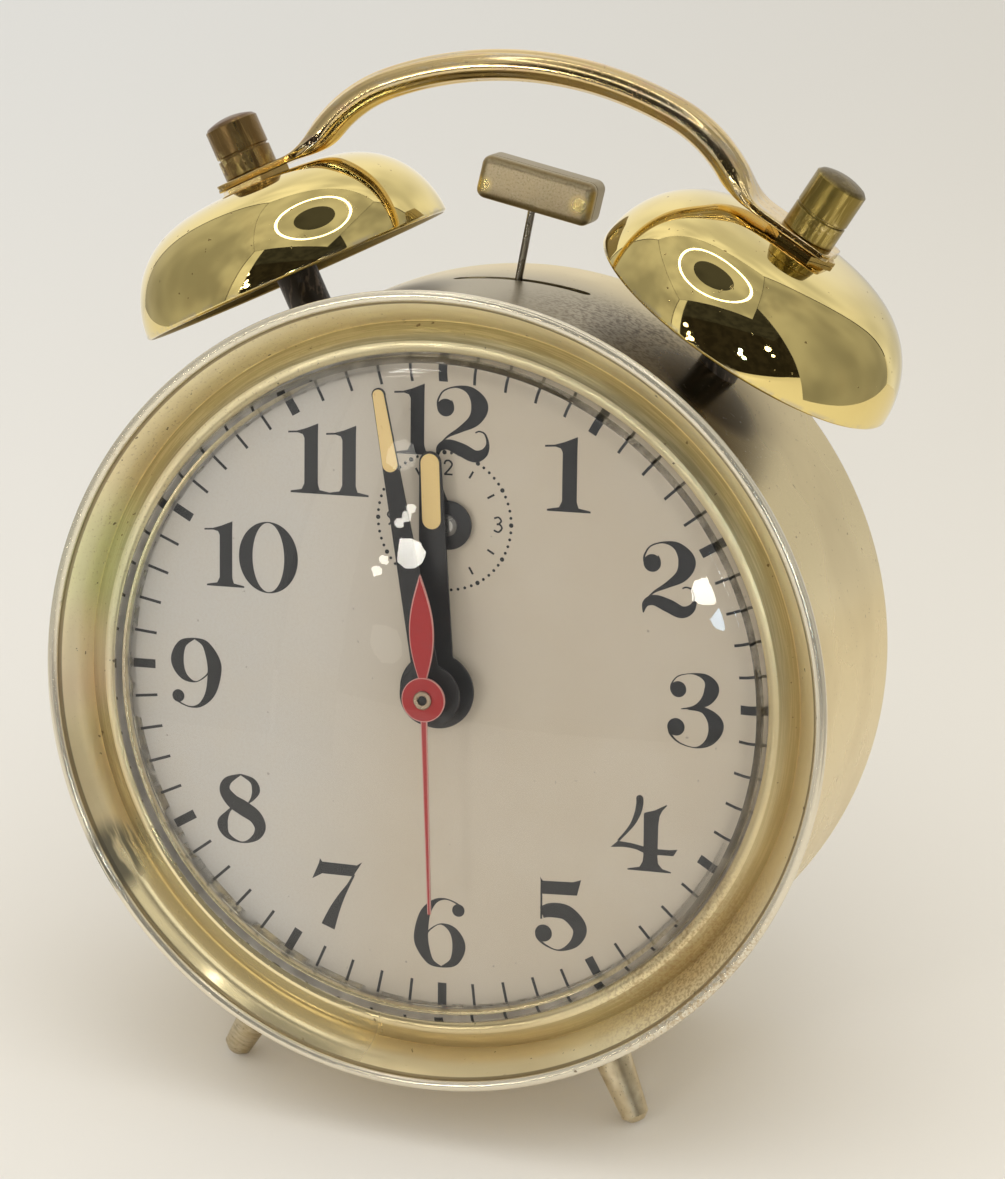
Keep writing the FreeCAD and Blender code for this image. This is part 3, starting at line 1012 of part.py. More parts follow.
def make_motion_works():
    """Cannon pinion, minute wheel on the setting arbor, hour wheel and the setting knob."""
    wheel_phase, cannon_phase = wheel_and_pinion(MINUTE_WHEEL_PLACE, STATION, CANNON_TEETH)
    hour_phase, minute_pinion_phase = wheel_and_pinion(STATION, MINUTE_WHEEL_PLACE, MINUTE_PINION_TEETH)
    cannon = gear(CANNON_TEETH, MOTION_MODULE, CANNON_LAYER, STATION, cannon_phase, 1.4, True)
    cannon = cannon.fuse(rod(CANNON_RADIUS, MINUTE_HAND_LAYER - 0.9, FRONT_PLATE_FRONT - END_SHAKE))
    nodes["cannon_pinion"] = in_case(cannon.cut(rod(CANNON_BORE, *ALL_DEPTHS)).removeSplitter())

    hour = gear(HOUR_TEETH, HOUR_MODULE, HOUR_LAYER, STATION, hour_phase)
    hour = crossed_out(hour, 4.6, HOUR_TEETH * HOUR_MODULE / 2 - 2.2, STATION, HOUR_LAYER, 3)
    hour = hour.fuse(rod(HOUR_RADIUS, HOUR_HAND_LAYER - 0.5, HOUR_LAYER + 0.9))
    nodes["hour_wheel"] = in_case(hour.cut(rod(HOUR_BORE, *ALL_DEPTHS)).removeSplitter())

    minute = gear(MINUTE_WHEEL_TEETH, MOTION_MODULE, CANNON_LAYER, MINUTE_WHEEL_PLACE, wheel_phase)
    minute = crossed_out(minute, 3.6, MINUTE_WHEEL_TEETH * MOTION_MODULE / 2 - 2.4, MINUTE_WHEEL_PLACE,
                         CANNON_LAYER, 4)
    pinion = gear(MINUTE_PINION_TEETH, HOUR_MODULE, HOUR_LAYER + 0.6, MINUTE_WHEEL_PLACE,
                  minute_pinion_phase, 2.4, True)
    shaft = rod(ARBOR_RADIUS, HOUR_LAYER - 0.6, KEY_START + 3.0, MINUTE_WHEEL_PLACE)
    nodes["minute_wheel"] = in_case(minute.fuse(pinion).fuse(shaft).removeSplitter())
    bore = rod(ARBOR_RADIUS, KEY_START, KEY_START + 3.0, MINUTE_WHEEL_PLACE)
    nodes["setting_knob"] = in_case(knob(MINUTE_WHEEL_PLACE, KEY_START).cut(bore))


def pointed(angle, shape):
    """A hand drawn upright, turned clockwise by its angle."""
    return in_case(turn_about(shape, angle))


def make_hands():
    """Baton hands with round bosses, a leaf-tailed seconds hand and a small alarm hand."""
    def baton(length, widths, boss, layer, bore):
        """A tapered hand with a round end; the widths are at its boss and at its end."""
        near, far = layer - HAND_THICKNESS / 2, layer + HAND_THICKNESS / 2
        reach = widths[1] / 2
        tip = [(reach * math.cos(math.pi * step / 8), length - reach + reach * math.sin(math.pi * step / 8))
               for step in range(9)]
        hand = plate([(-widths[0] / 2, 0), (widths[0] / 2, 0)] + tip, near, far).fuse(rod(boss, near, far))
        return hand.cut(rod(bore, near - 1, far + 1)).removeSplitter()

    hour = baton(HOUR_HAND_LENGTH, HOUR_HAND_WIDTH, HOUR_BOSS_RADIUS, HOUR_HAND_LAYER, HOUR_RADIUS)
    nodes["hour_hand"] = pointed(HOUR_HAND_ANGLE, hour)
    minute = baton(MINUTE_HAND_LENGTH, MINUTE_HAND_WIDTH, MINUTE_BOSS_RADIUS, MINUTE_HAND_LAYER,
                   CANNON_RADIUS)
    nodes["minute_hand"] = pointed(MINUTE_HAND_ANGLE, minute)

    near, far = SECONDS_HAND_LAYER - HAND_THICKNESS / 2, SECONDS_HAND_LAYER + HAND_THICKNESS / 2
    leaf = SECONDS_LEAF_WIDTH / 2
    outline = [(-0.3, SECONDS_HAND_LENGTH), (-0.5, 0), (-0.45, -SECONDS_BOSS_RADIUS),
               (-leaf * 0.8, -SECONDS_LEAF_AT * 0.75), (-leaf, -SECONDS_LEAF_AT),
               (-leaf * 0.75, -SECONDS_LEAF_AT * 1.35), (0, -SECONDS_TAIL_LENGTH)]
    outline += [(-x, z) for x, z in outline[-2::-1]]
    seconds = plate(outline, near, far).fuse(rod(SECONDS_BOSS_RADIUS, near, far))
    seconds = seconds.fuse(rod(SECONDS_TUBE_RADIUS, near - 0.4, far + 0.6))
    seconds = seconds.cut(rod(SECONDS_ARBOR_RADIUS, near - 1, far + 1)).removeSplitter()
    nodes["seconds_hand"] = pointed(SECONDS_HAND_ANGLE, seconds)


def make_alarm_work():
    """Alarm setting, alarm train, hammer, stop button and their knobs."""
    near, far = ALARM_HAND_LAYER - HAND_THICKNESS / 2, ALARM_HAND_LAYER + HAND_THICKNESS / 2
    hand = rod(ALARM_HUB_RADIUS, near, far, ALARM_PLACE)
    tip = polar(ALARM_HAND_LENGTH, 90 - ALARM_HAND_ANGLE, ALARM_PLACE)
    hand = hand.fuse(bar_between(ALARM_PLACE, tip, 1.5, near, far))
    hand = hand.cut(rod(ALARM_ARBOR_RADIUS, near - 1, far + 1, ALARM_PLACE))
    nodes["alarm_hand"] = in_case(hand.removeSplitter())
    shaft = rod(ALARM_ARBOR_RADIUS, near - 0.6, KEY_START + 3.0, ALARM_PLACE)
    cam = rod(ALARM_CAM_RADIUS, ALARM_CAM_LAYER - 0.4, ALARM_CAM_LAYER + 0.4, ALARM_PLACE)
    notch = polar(ALARM_CAM_RADIUS, 200, ALARM_PLACE)
    cam = cam.cut(rod(1.5, ALARM_CAM_LAYER - 1, ALARM_CAM_LAYER + 1, notch))
    collar = rod(1.4, FRONT_PLATE_REAR + END_SHAKE, FRONT_PLATE_REAR + 2, ALARM_PLACE)
    nodes["alarm_arbor"] = in_case(shaft.fuse(cam).fuse(collar).removeSplitter())
    bore = rod(ALARM_ARBOR_RADIUS, KEY_START, KEY_START + 3.0, ALARM_PLACE)
    nodes["alarm_knob"] = in_case(knob(ALARM_PLACE, KEY_START).cut(bore))

    great_phase, second_pinion_phase = wheel_and_pinion(ALARM_BARREL_PLACE, ALARM_SECOND_PLACE,
                                                        ALARM_PINION_TEETH)
    make_winding("alarm", ALARM_BARREL_PLACE, GREAT_LAYER, ALARM_GREAT_TEETH, great_phase, -35)
    second_phase, escape_pinion_phase = wheel_and_pinion(ALARM_SECOND_PLACE, ALARM_ESCAPE_PLACE,
                                                         ALARM_PINION_TEETH)
    second = gear(ALARM_SECOND_TEETH, ALARM_SECOND_MODULE, ALARM_SECOND_LAYER, ALARM_SECOND_PLACE,
                  second_phase)
    pinion = gear(ALARM_PINION_TEETH, GREAT_MODULE, GREAT_LAYER, ALARM_SECOND_PLACE,
                  second_pinion_phase, 1.8, True)
    second = second.fuse(pinion).fuse(arbor(ALARM_SECOND_PLACE))
    nodes["alarm_second_wheel"] = in_case(second.removeSplitter())
    pinion = gear(ALARM_PINION_TEETH, ALARM_SECOND_MODULE, ALARM_SECOND_LAYER, ALARM_ESCAPE_PLACE,
                  escape_pinion_phase, 1.6, True)
    outline = []
    step = 360.0 / ALARM_ESCAPE_TEETH
    for tooth in range(ALARM_ESCAPE_TEETH):
        outline.append(polar(ALARM_ESCAPE_RADIUS, step * tooth, ALARM_ESCAPE_PLACE))
        outline.append(polar(ALARM_ESCAPE_RADIUS - 1.6, step * (tooth + 0.25), ALARM_ESCAPE_PLACE))
        outline.append(polar(ALARM_ESCAPE_RADIUS - 1.6, step * (tooth + 0.75), ALARM_ESCAPE_PLACE))
    escape = plate(outline, HAMMER_TAIL_DEPTH - 0.5, HAMMER_TAIL_DEPTH + 0.5)
    escape = escape.fuse(pinion).fuse(arbor(ALARM_ESCAPE_PLACE))
    nodes["alarm_escape_wheel"] = in_case(escape.removeSplitter())

    shaft = arbor(HAMMER_PIVOT)
    half = HAMMER_HUB_LENGTH / 2
    hub = rod(HAMMER_HUB_RADIUS, HAMMER_DEPTH - half, HAMMER_DEPTH + half, HAMMER_PIVOT)
    reach = math.dist(HAMMER_PIVOT, ALARM_ESCAPE_PLACE) - ALARM_ESCAPE_RADIUS - HAMMER_TAIL_GAP
    tail_end = polar(reach, towards(HAMMER_PIVOT, ALARM_ESCAPE_PLACE), HAMMER_PIVOT)
    half = HAMMER_TAIL_THICKNESS / 2
    tail = bar_between(HAMMER_PIVOT, tail_end, 2.0, HAMMER_TAIL_DEPTH - half, HAMMER_TAIL_DEPTH + half)
    tail = tail.fuse(rod(1.8, HAMMER_TAIL_DEPTH - half, HAMMER_TAIL_DEPTH + half, HAMMER_PIVOT))
    nodes["hammer_arbor"] = in_case(shaft.fuse(hub).fuse(tail).removeSplitter())
    make_hammer()

    rear = HAMMER_TAIL_DEPTH + half + STOP_END_GAP + STOP_TRAVEL
    stop = rod(STOP_RADIUS, rear, KEY_START + STOP_TRAVEL + 1.0, STOP_PLACE)
    button = rod(STOP_KNOB_RADIUS, KEY_START + STOP_TRAVEL, KEY_START + STOP_TRAVEL + 3.5, STOP_PLACE)
    nodes["stop_button"] = in_case(stop.fuse(button).removeSplitter())


def make_hammer():
    """The hammer's wire from its hub through the case's slot, and the head between the bells."""
    pivot = pivot_in_case()
    foot = V(HAMMER_WIRE_OFFSET, HAMMER_DEPTH, DRUM_RADIUS)
    left_gap, right_gap = HAMMER_BELL_GAPS["left"], HAMMER_BELL_GAPS["right"]
    width = 2 * bell_axis_point(BELL_RIM_DISTANCE, -BELL_RIM_RADIUS).x - left_gap - right_gap
    head_centre = V((left_gap - right_gap) / 2, HAMMER_DEPTH, DRUM_RADIUS + HAMMER_HEAD_RISE)
    tilt = math.radians(HAMMER_HEAD_TILT)
    down = V(-math.sin(tilt), 0, -math.cos(tilt))
    head_low = head_centre + down * (HAMMER_HEAD_HEIGHT / 2) + V(-HAMMER_WIRE_SHIFT, 0, 0.15)
    start = pivot + (foot - pivot).normalize() * HAMMER_HUB_RADIUS
    lower, upper = foot - start, head_low - foot
    wire = Part.makeCylinder(HAMMER_WIRE_RADIUS, lower.Length, start, lower)
    wire = wire.fuse(Part.makeSphere(HAMMER_WIRE_RADIUS, foot))
    wire = wire.fuse(Part.makeCylinder(HAMMER_WIRE_RADIUS, upper.Length, foot, upper))
    head = Part.makeBox(width, HAMMER_HEAD_DEPTH, HAMMER_HEAD_HEIGHT,
                        V(-width / 2, -HAMMER_HEAD_DEPTH / 2, -HAMMER_HEAD_HEIGHT / 2))
    head = head.makeFillet(HAMMER_HEAD_ROUND, head.Edges)
    head.rotate(V(0, 0, 0), ALONG_Y, HAMMER_HEAD_TILT)
    head.translate(head_centre)
    nodes["hammer_head"] = head
    nodes["hammer_wire"] = wire.cut(head)


def pivot_in_case():
    """The hammer arbor's place in the case frame, at the hammer's depth."""
    turn = math.radians(-DIAL_TURN)
    x, z = HAMMER_PIVOT
    sideways = x * math.cos(turn) + z * math.sin(turn)
    return V(sideways, HAMMER_DEPTH, -x * math.sin(turn) + z * math.cos(turn))


def rise_of_feet(lean):
    """How far the feet's lowest points lie above the case's rear edge when the case leans back."""
    turn = math.radians(lean)
    down = V(0, math.sin(turn), -math.cos(turn))
    axis = V(math.sin(math.radians(FOOT_ANGLE)), 0, -math.cos(math.radians(FOOT_ANGLE)))
    across = math.sqrt(1 - axis.dot(down) ** 2)
    reaches = []
    for distance, radius in ((FOOT_END_DISTANCE, FOOT_END_RADIUS - FOOT_CHAMFER),
                             (FOOT_END_DISTANCE - FOOT_CHAMFER, FOOT_END_RADIUS)):
        centre = axis * distance + V(0, FOOT_DEPTH, 0)
        reaches.append(centre.dot(down) + radius * across)
    rear = V(0, DRUM_REAR - DRUM_REAR_ROUND, -(DRUM_RADIUS - DRUM_REAR_ROUND))
    return rear.dot(down) + DRUM_REAR_ROUND - max(reaches)


def lean_angle():
    """How far the case leans back when its feet and its rear edge stand on one plane."""
    low, high = 0.0, 45.0
    for _ in range(50):
        middle = (low + high) / 2
        if rise_of_feet(middle) < 0:
            low = middle
        else:
            high = middle
    return (low + high) / 2


def build():
    """Every node in the part's own frame, with the shift that put it there."""
    make_case()
    make_frame()
    make_bell_group()
    make_feet()
    make_going_train()
    make_click_screws()
    make_motion_works()
    make_hands()
    make_alarm_work()
    for shape in nodes.values():
        shape.rotate(V(0, 0, 0), V(1, 0, 0), -lean_angle())
    box = Part.makeCompound(list(nodes.values())).optimalBoundingBox(False)
    shift = V(-(box.XMin + box.XMax) / 2, -(box.YMin + box.YMax) / 2, -box.ZMin)
    for shape in nodes.values():
        shape.translate(shift)
    return shift


SHIFT = build()


def save():
    os.makedirs("parts", exist_ok=True)
    for name, shape in nodes.items():
        shape.exportStep("parts/" + name + ".step")


save()
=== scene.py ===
"""Looks of the twin bell alarm clock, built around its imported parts.

Pieces made here are modelled in millimetres in the case frame, where the clock's front faces -Y
and its axis is Y, and are then placed in the part's own frame in metres. Their materials work in
millimetres of the same frame, or of the frame of the bell, nut, foot or hammer that they cover.
"""
import json
import math
import random

import bmesh
import bpy
from mathutils import Matrix, Vector


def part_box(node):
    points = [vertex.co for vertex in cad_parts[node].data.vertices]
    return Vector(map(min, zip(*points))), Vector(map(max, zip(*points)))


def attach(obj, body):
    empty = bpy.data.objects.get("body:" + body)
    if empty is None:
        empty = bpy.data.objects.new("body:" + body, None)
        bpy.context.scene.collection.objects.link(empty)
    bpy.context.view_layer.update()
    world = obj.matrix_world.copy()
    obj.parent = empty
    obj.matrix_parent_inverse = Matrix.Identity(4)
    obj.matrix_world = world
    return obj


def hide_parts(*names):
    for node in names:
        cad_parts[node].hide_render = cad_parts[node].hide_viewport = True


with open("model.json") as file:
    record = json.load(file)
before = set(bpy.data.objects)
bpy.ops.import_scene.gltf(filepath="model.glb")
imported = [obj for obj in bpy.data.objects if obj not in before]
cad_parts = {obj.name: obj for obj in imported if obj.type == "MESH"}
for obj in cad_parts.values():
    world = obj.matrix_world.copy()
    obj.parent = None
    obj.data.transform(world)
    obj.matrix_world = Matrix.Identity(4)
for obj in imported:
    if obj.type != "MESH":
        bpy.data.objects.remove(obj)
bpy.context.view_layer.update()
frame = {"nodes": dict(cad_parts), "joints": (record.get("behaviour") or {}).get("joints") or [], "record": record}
random.seed(7)

# Sizes in millimetres of the case frame, angles in degrees, and plain numbers
DIAL_THICKNESS = 0.5
DIAL_RADIUS = 47.5
DIAL_TURN = 3.8
DRUM_RADIUS = 50.4
DRUM_WALL = 0.8
DRUM_EDGE = -4.0
DRUM_STEPS = 288
DRUM_REAR = 40.0
DRUM_REAR_ROUND = 2.5
DRUM_REAR_FLANGE_RADIUS = 44.3
SLOT_LENGTH = 19.0
SLOT_WIDTH = 1.9
SLOT_DEPTH = 22.5
BELL_TILT = 29.0
BELL_OFFSET = 4.0
BELL_DEPTH = 21.2
BELL_RIM_DISTANCE = 56.9
BELL_RIM_RADIUS = 21.8
BELL_HEIGHT = 13.2
BELL_WALL = 0.9
BELL_SIDE_POWER = 3.59
BELL_CROWN_POWER = 1.85
STUD_RADIUS = 1.9
TAB_TOP = 71.8
TAB_THICKNESS = 1.1
TAB_START = -6.2
TAB_END = 4.4
TAB_HALF_DEPTH = 3.9
TAB_ROUND = 1.2
CAP_NUT_RADIUS = 3.65
CAP_NUT_HEIGHTS = {"left": 8.0, "right": 9.0}
CAP_NUT_CROWN_RADIUS = 8.3
CAP_NUT_GROOVE_SHARE = 0.34
HANDLE_TOP = 78.7
HANDLE_ARCH_RADIUS = 49.0
HANDLE_ARCH_ANGLE = 23.4
HANDLE_SHOULDER_RADIUS = 19.6
HANDLE_LEG_ANGLE = 53.0
HANDLE_HALF_HEIGHT = 2.1
HANDLE_HALF_DEPTH = 2.7
HAMMER_HEAD_SIZE = (16.0, 5.3, 5.8)
HAMMER_HEAD_CENTRE = (1.6, 22.5, 62.65)
HAMMER_HEAD_TILT = 9.5
FOOT_ANGLE = 26.6
FOOT_DEPTH = 7.4
CRYSTAL_IOR = 1.34
SHARP_ANGLE = 35

# Camera and picture
CAMERA_PLACE = Vector((0.16065, -0.48089, 0.31158))
CAMERA_AIM = Vector((0.00705, -0.01384, 0.07127))
CAMERA_ROLL = 0.273
CAMERA_LENS = 129.898

SIDES = {"left": -1, "right": 1}
scene = bpy.context.scene


# Frames: the dial's middle and the clock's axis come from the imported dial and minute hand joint

def turned(degrees, axis="Y"):
    return Matrix.Rotation(math.radians(degrees), 4, axis)


def case_frame():
    """The matrix from case millimetres to the part's frame in metres."""
    minute = next(joint for joint in frame["joints"] if joint["name"] == "minute_turn")
    axis = Vector(minute["axis"])
    low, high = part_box("dial")
    origin = (low + high) / 2 - axis * DIAL_THICKNESS / 2000
    lean = math.atan2(-axis.z, axis.y)
    return Matrix.Translation(origin) @ Matrix.Rotation(-lean, 4, "X") @ Matrix.Scale(0.001, 4)


CASE = case_frame()
MOVEMENT = CASE @ turned(-DIAL_TURN)
HAMMER = CASE @ Matrix.Translation(HAMMER_HEAD_CENTRE) @ turned(HAMMER_HEAD_TILT)


def bell_frame(side):
    """A bell's own frame, with its axis along Z; side is -1 for left and 1 for right."""
    stand = CASE @ Matrix.Translation((0, BELL_DEPTH, 0)) @ turned(side * BELL_TILT)
    return stand @ Matrix.Translation((side * BELL_OFFSET, 0, 0))


def foot_frame(side):
    """A foot's own frame, with its axis pointing down along Z."""
    return CASE @ Matrix.Translation((0, FOOT_DEPTH, 0)) @ turned(180 - side * FOOT_ANGLE)


# Mesh helpers

def new_mesh(name, shape, place):
    """A mesh of vertices and faces moved by a matrix."""
    vertices, faces = shape
    mesh = bpy.data.meshes.new(name)
    mesh.from_pydata([tuple(vertex) for vertex in vertices], [], faces)
    mesh.transform(place)
    return mesh


def added(name, data):
    """A new object of the scene."""
    thing = bpy.data.objects.new(name, data)
    scene.collection.objects.link(thing)
    return thing


def new_piece(name, shape, place, material, body, replaced=(), sharp=SHARP_ANGLE):
    """A piece placed by a matrix, riding on a body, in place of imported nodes."""
    mesh = new_mesh(name, shape, place)
    skin = bmesh.new()
    skin.from_mesh(mesh)
    bmesh.ops.recalc_face_normals(skin, faces=skin.faces)
    skin.to_mesh(mesh)
    skin.free()
    mesh.shade_smooth()
    mesh.set_sharp_from_angle(angle=math.radians(sharp))
    mesh.materials.append(material)
    piece = added(name, mesh)
    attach(piece, body)
    if replaced:
        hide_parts(*replaced)
    return piece


def on_circle(radius, steps):
    """Points (x, y) round a circle."""
    turns = [math.tau * step / steps for step in range(steps)]
    return [(radius * math.cos(turn), radius * math.sin(turn)) for turn in turns]


def ring_faces(steps):
    """Faces between an outer and an inner circle of points."""
    return [[k, (k + 1) % steps, steps + (k + 1) % steps, steps + k] for k in range(steps)]


def arc(first, middle, last, steps=8):
    """Points after the first one along the circle through three points of a plane."""
    (ax, ay), (bx, by), (cx, cy) = first, middle, last
    twice = 2 * (ax * (by - cy) + bx * (cy - ay) + cx * (ay - by))
    a2, b2, c2 = ax * ax + ay * ay, bx * bx + by * by, cx * cx + cy * cy
    ux = (a2 * (by - cy) + b2 * (cy - ay) + c2 * (ay - by)) / twice
    uy = (a2 * (cx - bx) + b2 * (ax - cx) + c2 * (bx - ax)) / twice
    radius = math.hypot(ax - ux, ay - uy)
    start = math.atan2(ay - uy, ax - ux)
    through = (math.atan2(by - uy, bx - ux) - start) % math.tau
    sweep = (math.atan2(cy - uy, cx - ux) - start) % math.tau
    if through > sweep:
        sweep -= math.tau
    return [(ux + radius * math.cos(start + sweep * k / steps),
             uy + radius * math.sin(start + sweep * k / steps)) for k in range(1, steps + 1)]


def lathe(profile, axis="Y", steps=192):
    """Vertices and faces of a closed profile of (radius, along) points turned about an axis."""
    vertices, rings = [], []
    for radius, along in profile:
        count = 1 if radius < 1e-6 else steps
        ring = []
        for step in range(count):
            turn = math.tau * step / steps
            across, up = radius * math.cos(turn), radius * math.sin(turn)
            ring.append(len(vertices))
            vertices.append((across, along, up) if axis == "Y" else (across, up, along))
        rings.append(ring)
    faces = []
    for ring, after in zip(rings, rings[1:] + rings[:1]):
        if len(ring) == 1 and len(after) == 1:
            continue
        for step in range(steps):
            corners = [ring[step % len(ring)], ring[(step + 1) % len(ring)],
                       after[(step + 1) % len(after)], after[step % len(after)]]
            faces.append(list(dict.fromkeys(corners)))
    return vertices, faces


def tube_of_rings(rings):
    """Vertices and faces of a closed skin over rings of points with a flat cap at each end."""
    count = len(rings[0])
    vertices = [point for ring in rings for point in ring]
    faces = []
    for row in range(len(rings) - 1):
        for step in range(count):
            ahead = (step + 1) % count
            faces.append([row * count + step, row * count + ahead,
                          (row + 1) * count + ahead, (row + 1) * count + step])
    faces.append(list(range(count)))
    faces.append([(len(rings) - 1) * count + step for step in reversed(range(count))])
    return vertices, faces


def flat_solid(outline, front, back, rounding=0.0):
    """Vertices and faces of an outline of (x, z) points between two depths, with a chamfered front."""
    count = len(outline)
    area = sum(a[0] * b[1] - b[0] * a[1] for a, b in zip(outline, outline[1:] + outline[:1]))
    sign = 1 if area > 0 else -1

    def inset(index):
        before, here, after = outline[index - 1], outline[index], outline[(index + 1) % count]
        run = Vector((after[0] - before[0], after[1] - before[1])).normalized() * sign * rounding
        return here[0] - run.y, here[1] + run.x

    levels = [(outline, back), (outline, front + rounding)]
    if rounding:
        levels.append(([inset(index) for index in range(count)], front))
    rings = [[(x, depth, z) for x, z in row] for row, depth in levels]
    return tube_of_rings(rings)


def merged(parts):
    """Several vertex and face lists as one."""
    vertices, faces = [], []
    for part_vertices, part_faces in parts:
        start = len(vertices)
        vertices += part_vertices
        faces += [[start + index for index in face] for face in part_faces]
    return vertices, faces


# Material helpers

class Mask:
    """A number that a material's nodes work out; arithmetic with it adds nodes."""

    def __init__(self, finish, socket):
        self.finish = finish
        self.socket = socket

    def __add__(self, other):
        return self.finish.math("ADD", self, other)

    def __sub__(self, other):
        return self.finish.math("SUBTRACT", self, other)

    def __rsub__(self, other):
        return self.finish.math("SUBTRACT", other, self)

    def __mul__(self, other):
        return self.finish.math("MULTIPLY", self, other)

    def __truediv__(self, other):
        return self.finish.math("DIVIDE", self, other)

    def __pow__(self, other):
        return self.finish.math("POWER", self, other)


class Finish:
    """A node material under construction, in millimetres of a frame: the case's if none is named."""

    def __init__(self, name, space=None):
        self.material = bpy.data.materials.new(name)
        self.material.use_nodes = True
        self.tree = self.material.node_tree
        self.shader = self.tree.nodes["Principled BSDF"]
        inverse = (space or CASE).inverted()
        self.place = self.node("Mapping", {
            "Vector": self.node("TexCoord", {})["Object"], "Location": inverse.to_translation(),
            "Rotation": inverse.to_euler(), "Scale": inverse.to_scale()})[0]

    def feed(self, target, value):
        """Links a socket or a mask, or sets a plain value."""
        value = getattr(value, "socket", value)
        if isinstance(value, bpy.types.NodeSocket):
            self.tree.links.new(value, target)
        else:
            target.default_value = value

    def node(self, kind, inputs, **settings):
        """The outputs of a new node, with its settings and its inputs by name or number."""
        node = self.tree.nodes.new("ShaderNode" + kind)
        for name, value in settings.items():
            setattr(node, name, value)
        for key, value in inputs.items():
            self.feed(node.inputs[key], value)
        return node.outputs

    def math(self, operation, first, second=0.0):
        return Mask(self, self.node("Math", {0: first, 1: second}, operation=operation)[0])

    def vector(self, operation, first, second=(0, 0, 0)):
        return self.node("VectorMath", {0: first, 1: second}, operation=operation)

    def noise(self, per_mm, detail=3.0, roughness=0.55, place=None, shift=0.0):
        inputs = {"Vector": place or self.place, "W": shift, "Scale": per_mm, "Detail": detail,
                  "Roughness": roughness}
        return Mask(self, self.node("TexNoise", inputs, noise_dimensions="4D")["Fac"])

    def streaks(self, factors, detail=2.0, shift=0.0):
        """Noise with its own cycles per millimetre along each axis."""
        return self.noise(1.0, detail, 0.6, self.vector("MULTIPLY", self.place, factors)["Vector"], shift)

    def radius(self, flat=(1, 0, 1)):
        """Distance from the frame's Y axis, or from the axis that flat leaves out."""
        return Mask(self, self.vector("LENGTH", self.vector("MULTIPLY", self.place, flat)["Vector"])["Value"])

    def rings(self, around, across, along, flat=(1, 0, 1)):
        """Noise in fine rings round an axis, with cycles per millimetre across and along it."""
        heading = self.vector("NORMALIZE", self.vector("MULTIPLY", self.place, flat)["Vector"])["Vector"]
        shift = self.radius(flat) * across + self.axis_value(flat.index(0)) * along
        return self.noise(around, 2.0, 0.6, heading, shift)

    def levels(self, value, low, high, bottom=0.0, top=1.0):
        """A smooth step of a value between two levels."""
        inputs = {"Value": value, "From Min": low, "From Max": high, "To Min": bottom, "To Max": top}
        return Mask(self, self.node("MapRange", inputs, interpolation_type="SMOOTHSTEP")["Result"])

    def cloud(self, per_mm, low, high, detail=3.0, roughness=0.55, shift=0.0):
        """Where a noise rises from one level to another."""
        return self.levels(self.noise(per_mm, detail, roughness, None, shift), low, high)

    def band(self, value, low, high, soft):
        """One between two levels, falling to nought on both sides."""
        return self.levels(value, low - soft, low) * self.levels(value, high, high + soft, 1.0, 0.0)

    def near(self, centre, reach, soft):
        """One close to a point, falling to nought beyond its reach, in millimetres."""
        distance = self.vector("DISTANCE", self.place, centre)["Value"]
        return self.levels(distance, reach, reach + soft, 1.0, 0.0)

    def axis_value(self, axis):
        return Mask(self, self.node("SeparateXYZ", {0: self.place})[axis])

    def mix(self, share, first, second):
        """A colour between two colours."""
        return self.node("Mix", {"Factor": share, 6: first, 7: second}, data_type="RGBA")[2]

    def bump(self, height, depth):
        """Relief of a height from nought to one, in millimetres."""
        self.set(Normal=self.node("Bump", {"Distance": depth / 1000, "Height": height})[0])

    def set(self, **values):
        for name, value in values.items():
            self.feed(self.shader.inputs[name.replace("_", " ")], value)
        return self.material

    def coat(self, colour, rough, layers, metallic=0.0):
        """A colour and a roughness under layers of mask, share, colour and roughness."""
        base = rgb(*colour)
        for mask, share, layer_colour, layer_rough in layers:
            mask = mask * share
            base = self.mix(mask, base, rgb(*layer_colour))
            rough = mask * layer_rough + (1.0 - mask) * rough
        return self.set(Base_Color=base, Roughness=rough, Metallic=metallic)


def rgb(red, green, blue):
    return (red, green, blue, 1.0)


# Metals. Colours and roughness are the bare metal's, then each layer's over it

def metal(name, colour, tarnish, smooth):
    """Worn metal: cloudy tarnish, small dark specks, fine scratches and uneven gloss."""
    finish = Finish(name)
    specks = finish.cloud(1.6, 0.66, 0.72, 2.0, shift=3.0)
    finish.bump(finish.streaks((0.3, 5.0, 1.2), shift=5.0) * 0.4 - specks, 0.02)
    pale = tuple(min(1.0, part * 1.15) for part in colour)
    layers = [
        (finish.cloud(0.35, 0.35, 0.7, 4.0, shift=9.0), 0.6, pale, smooth * 0.7),
        (finish.cloud(0.12, 0.48, 0.66, 4.0), 0.5, tarnish, smooth + 0.15),
        (specks, 0.8, tarnish, smooth + 0.3),
    ]
    return finish.coat(colour, smooth, layers, 1.0)


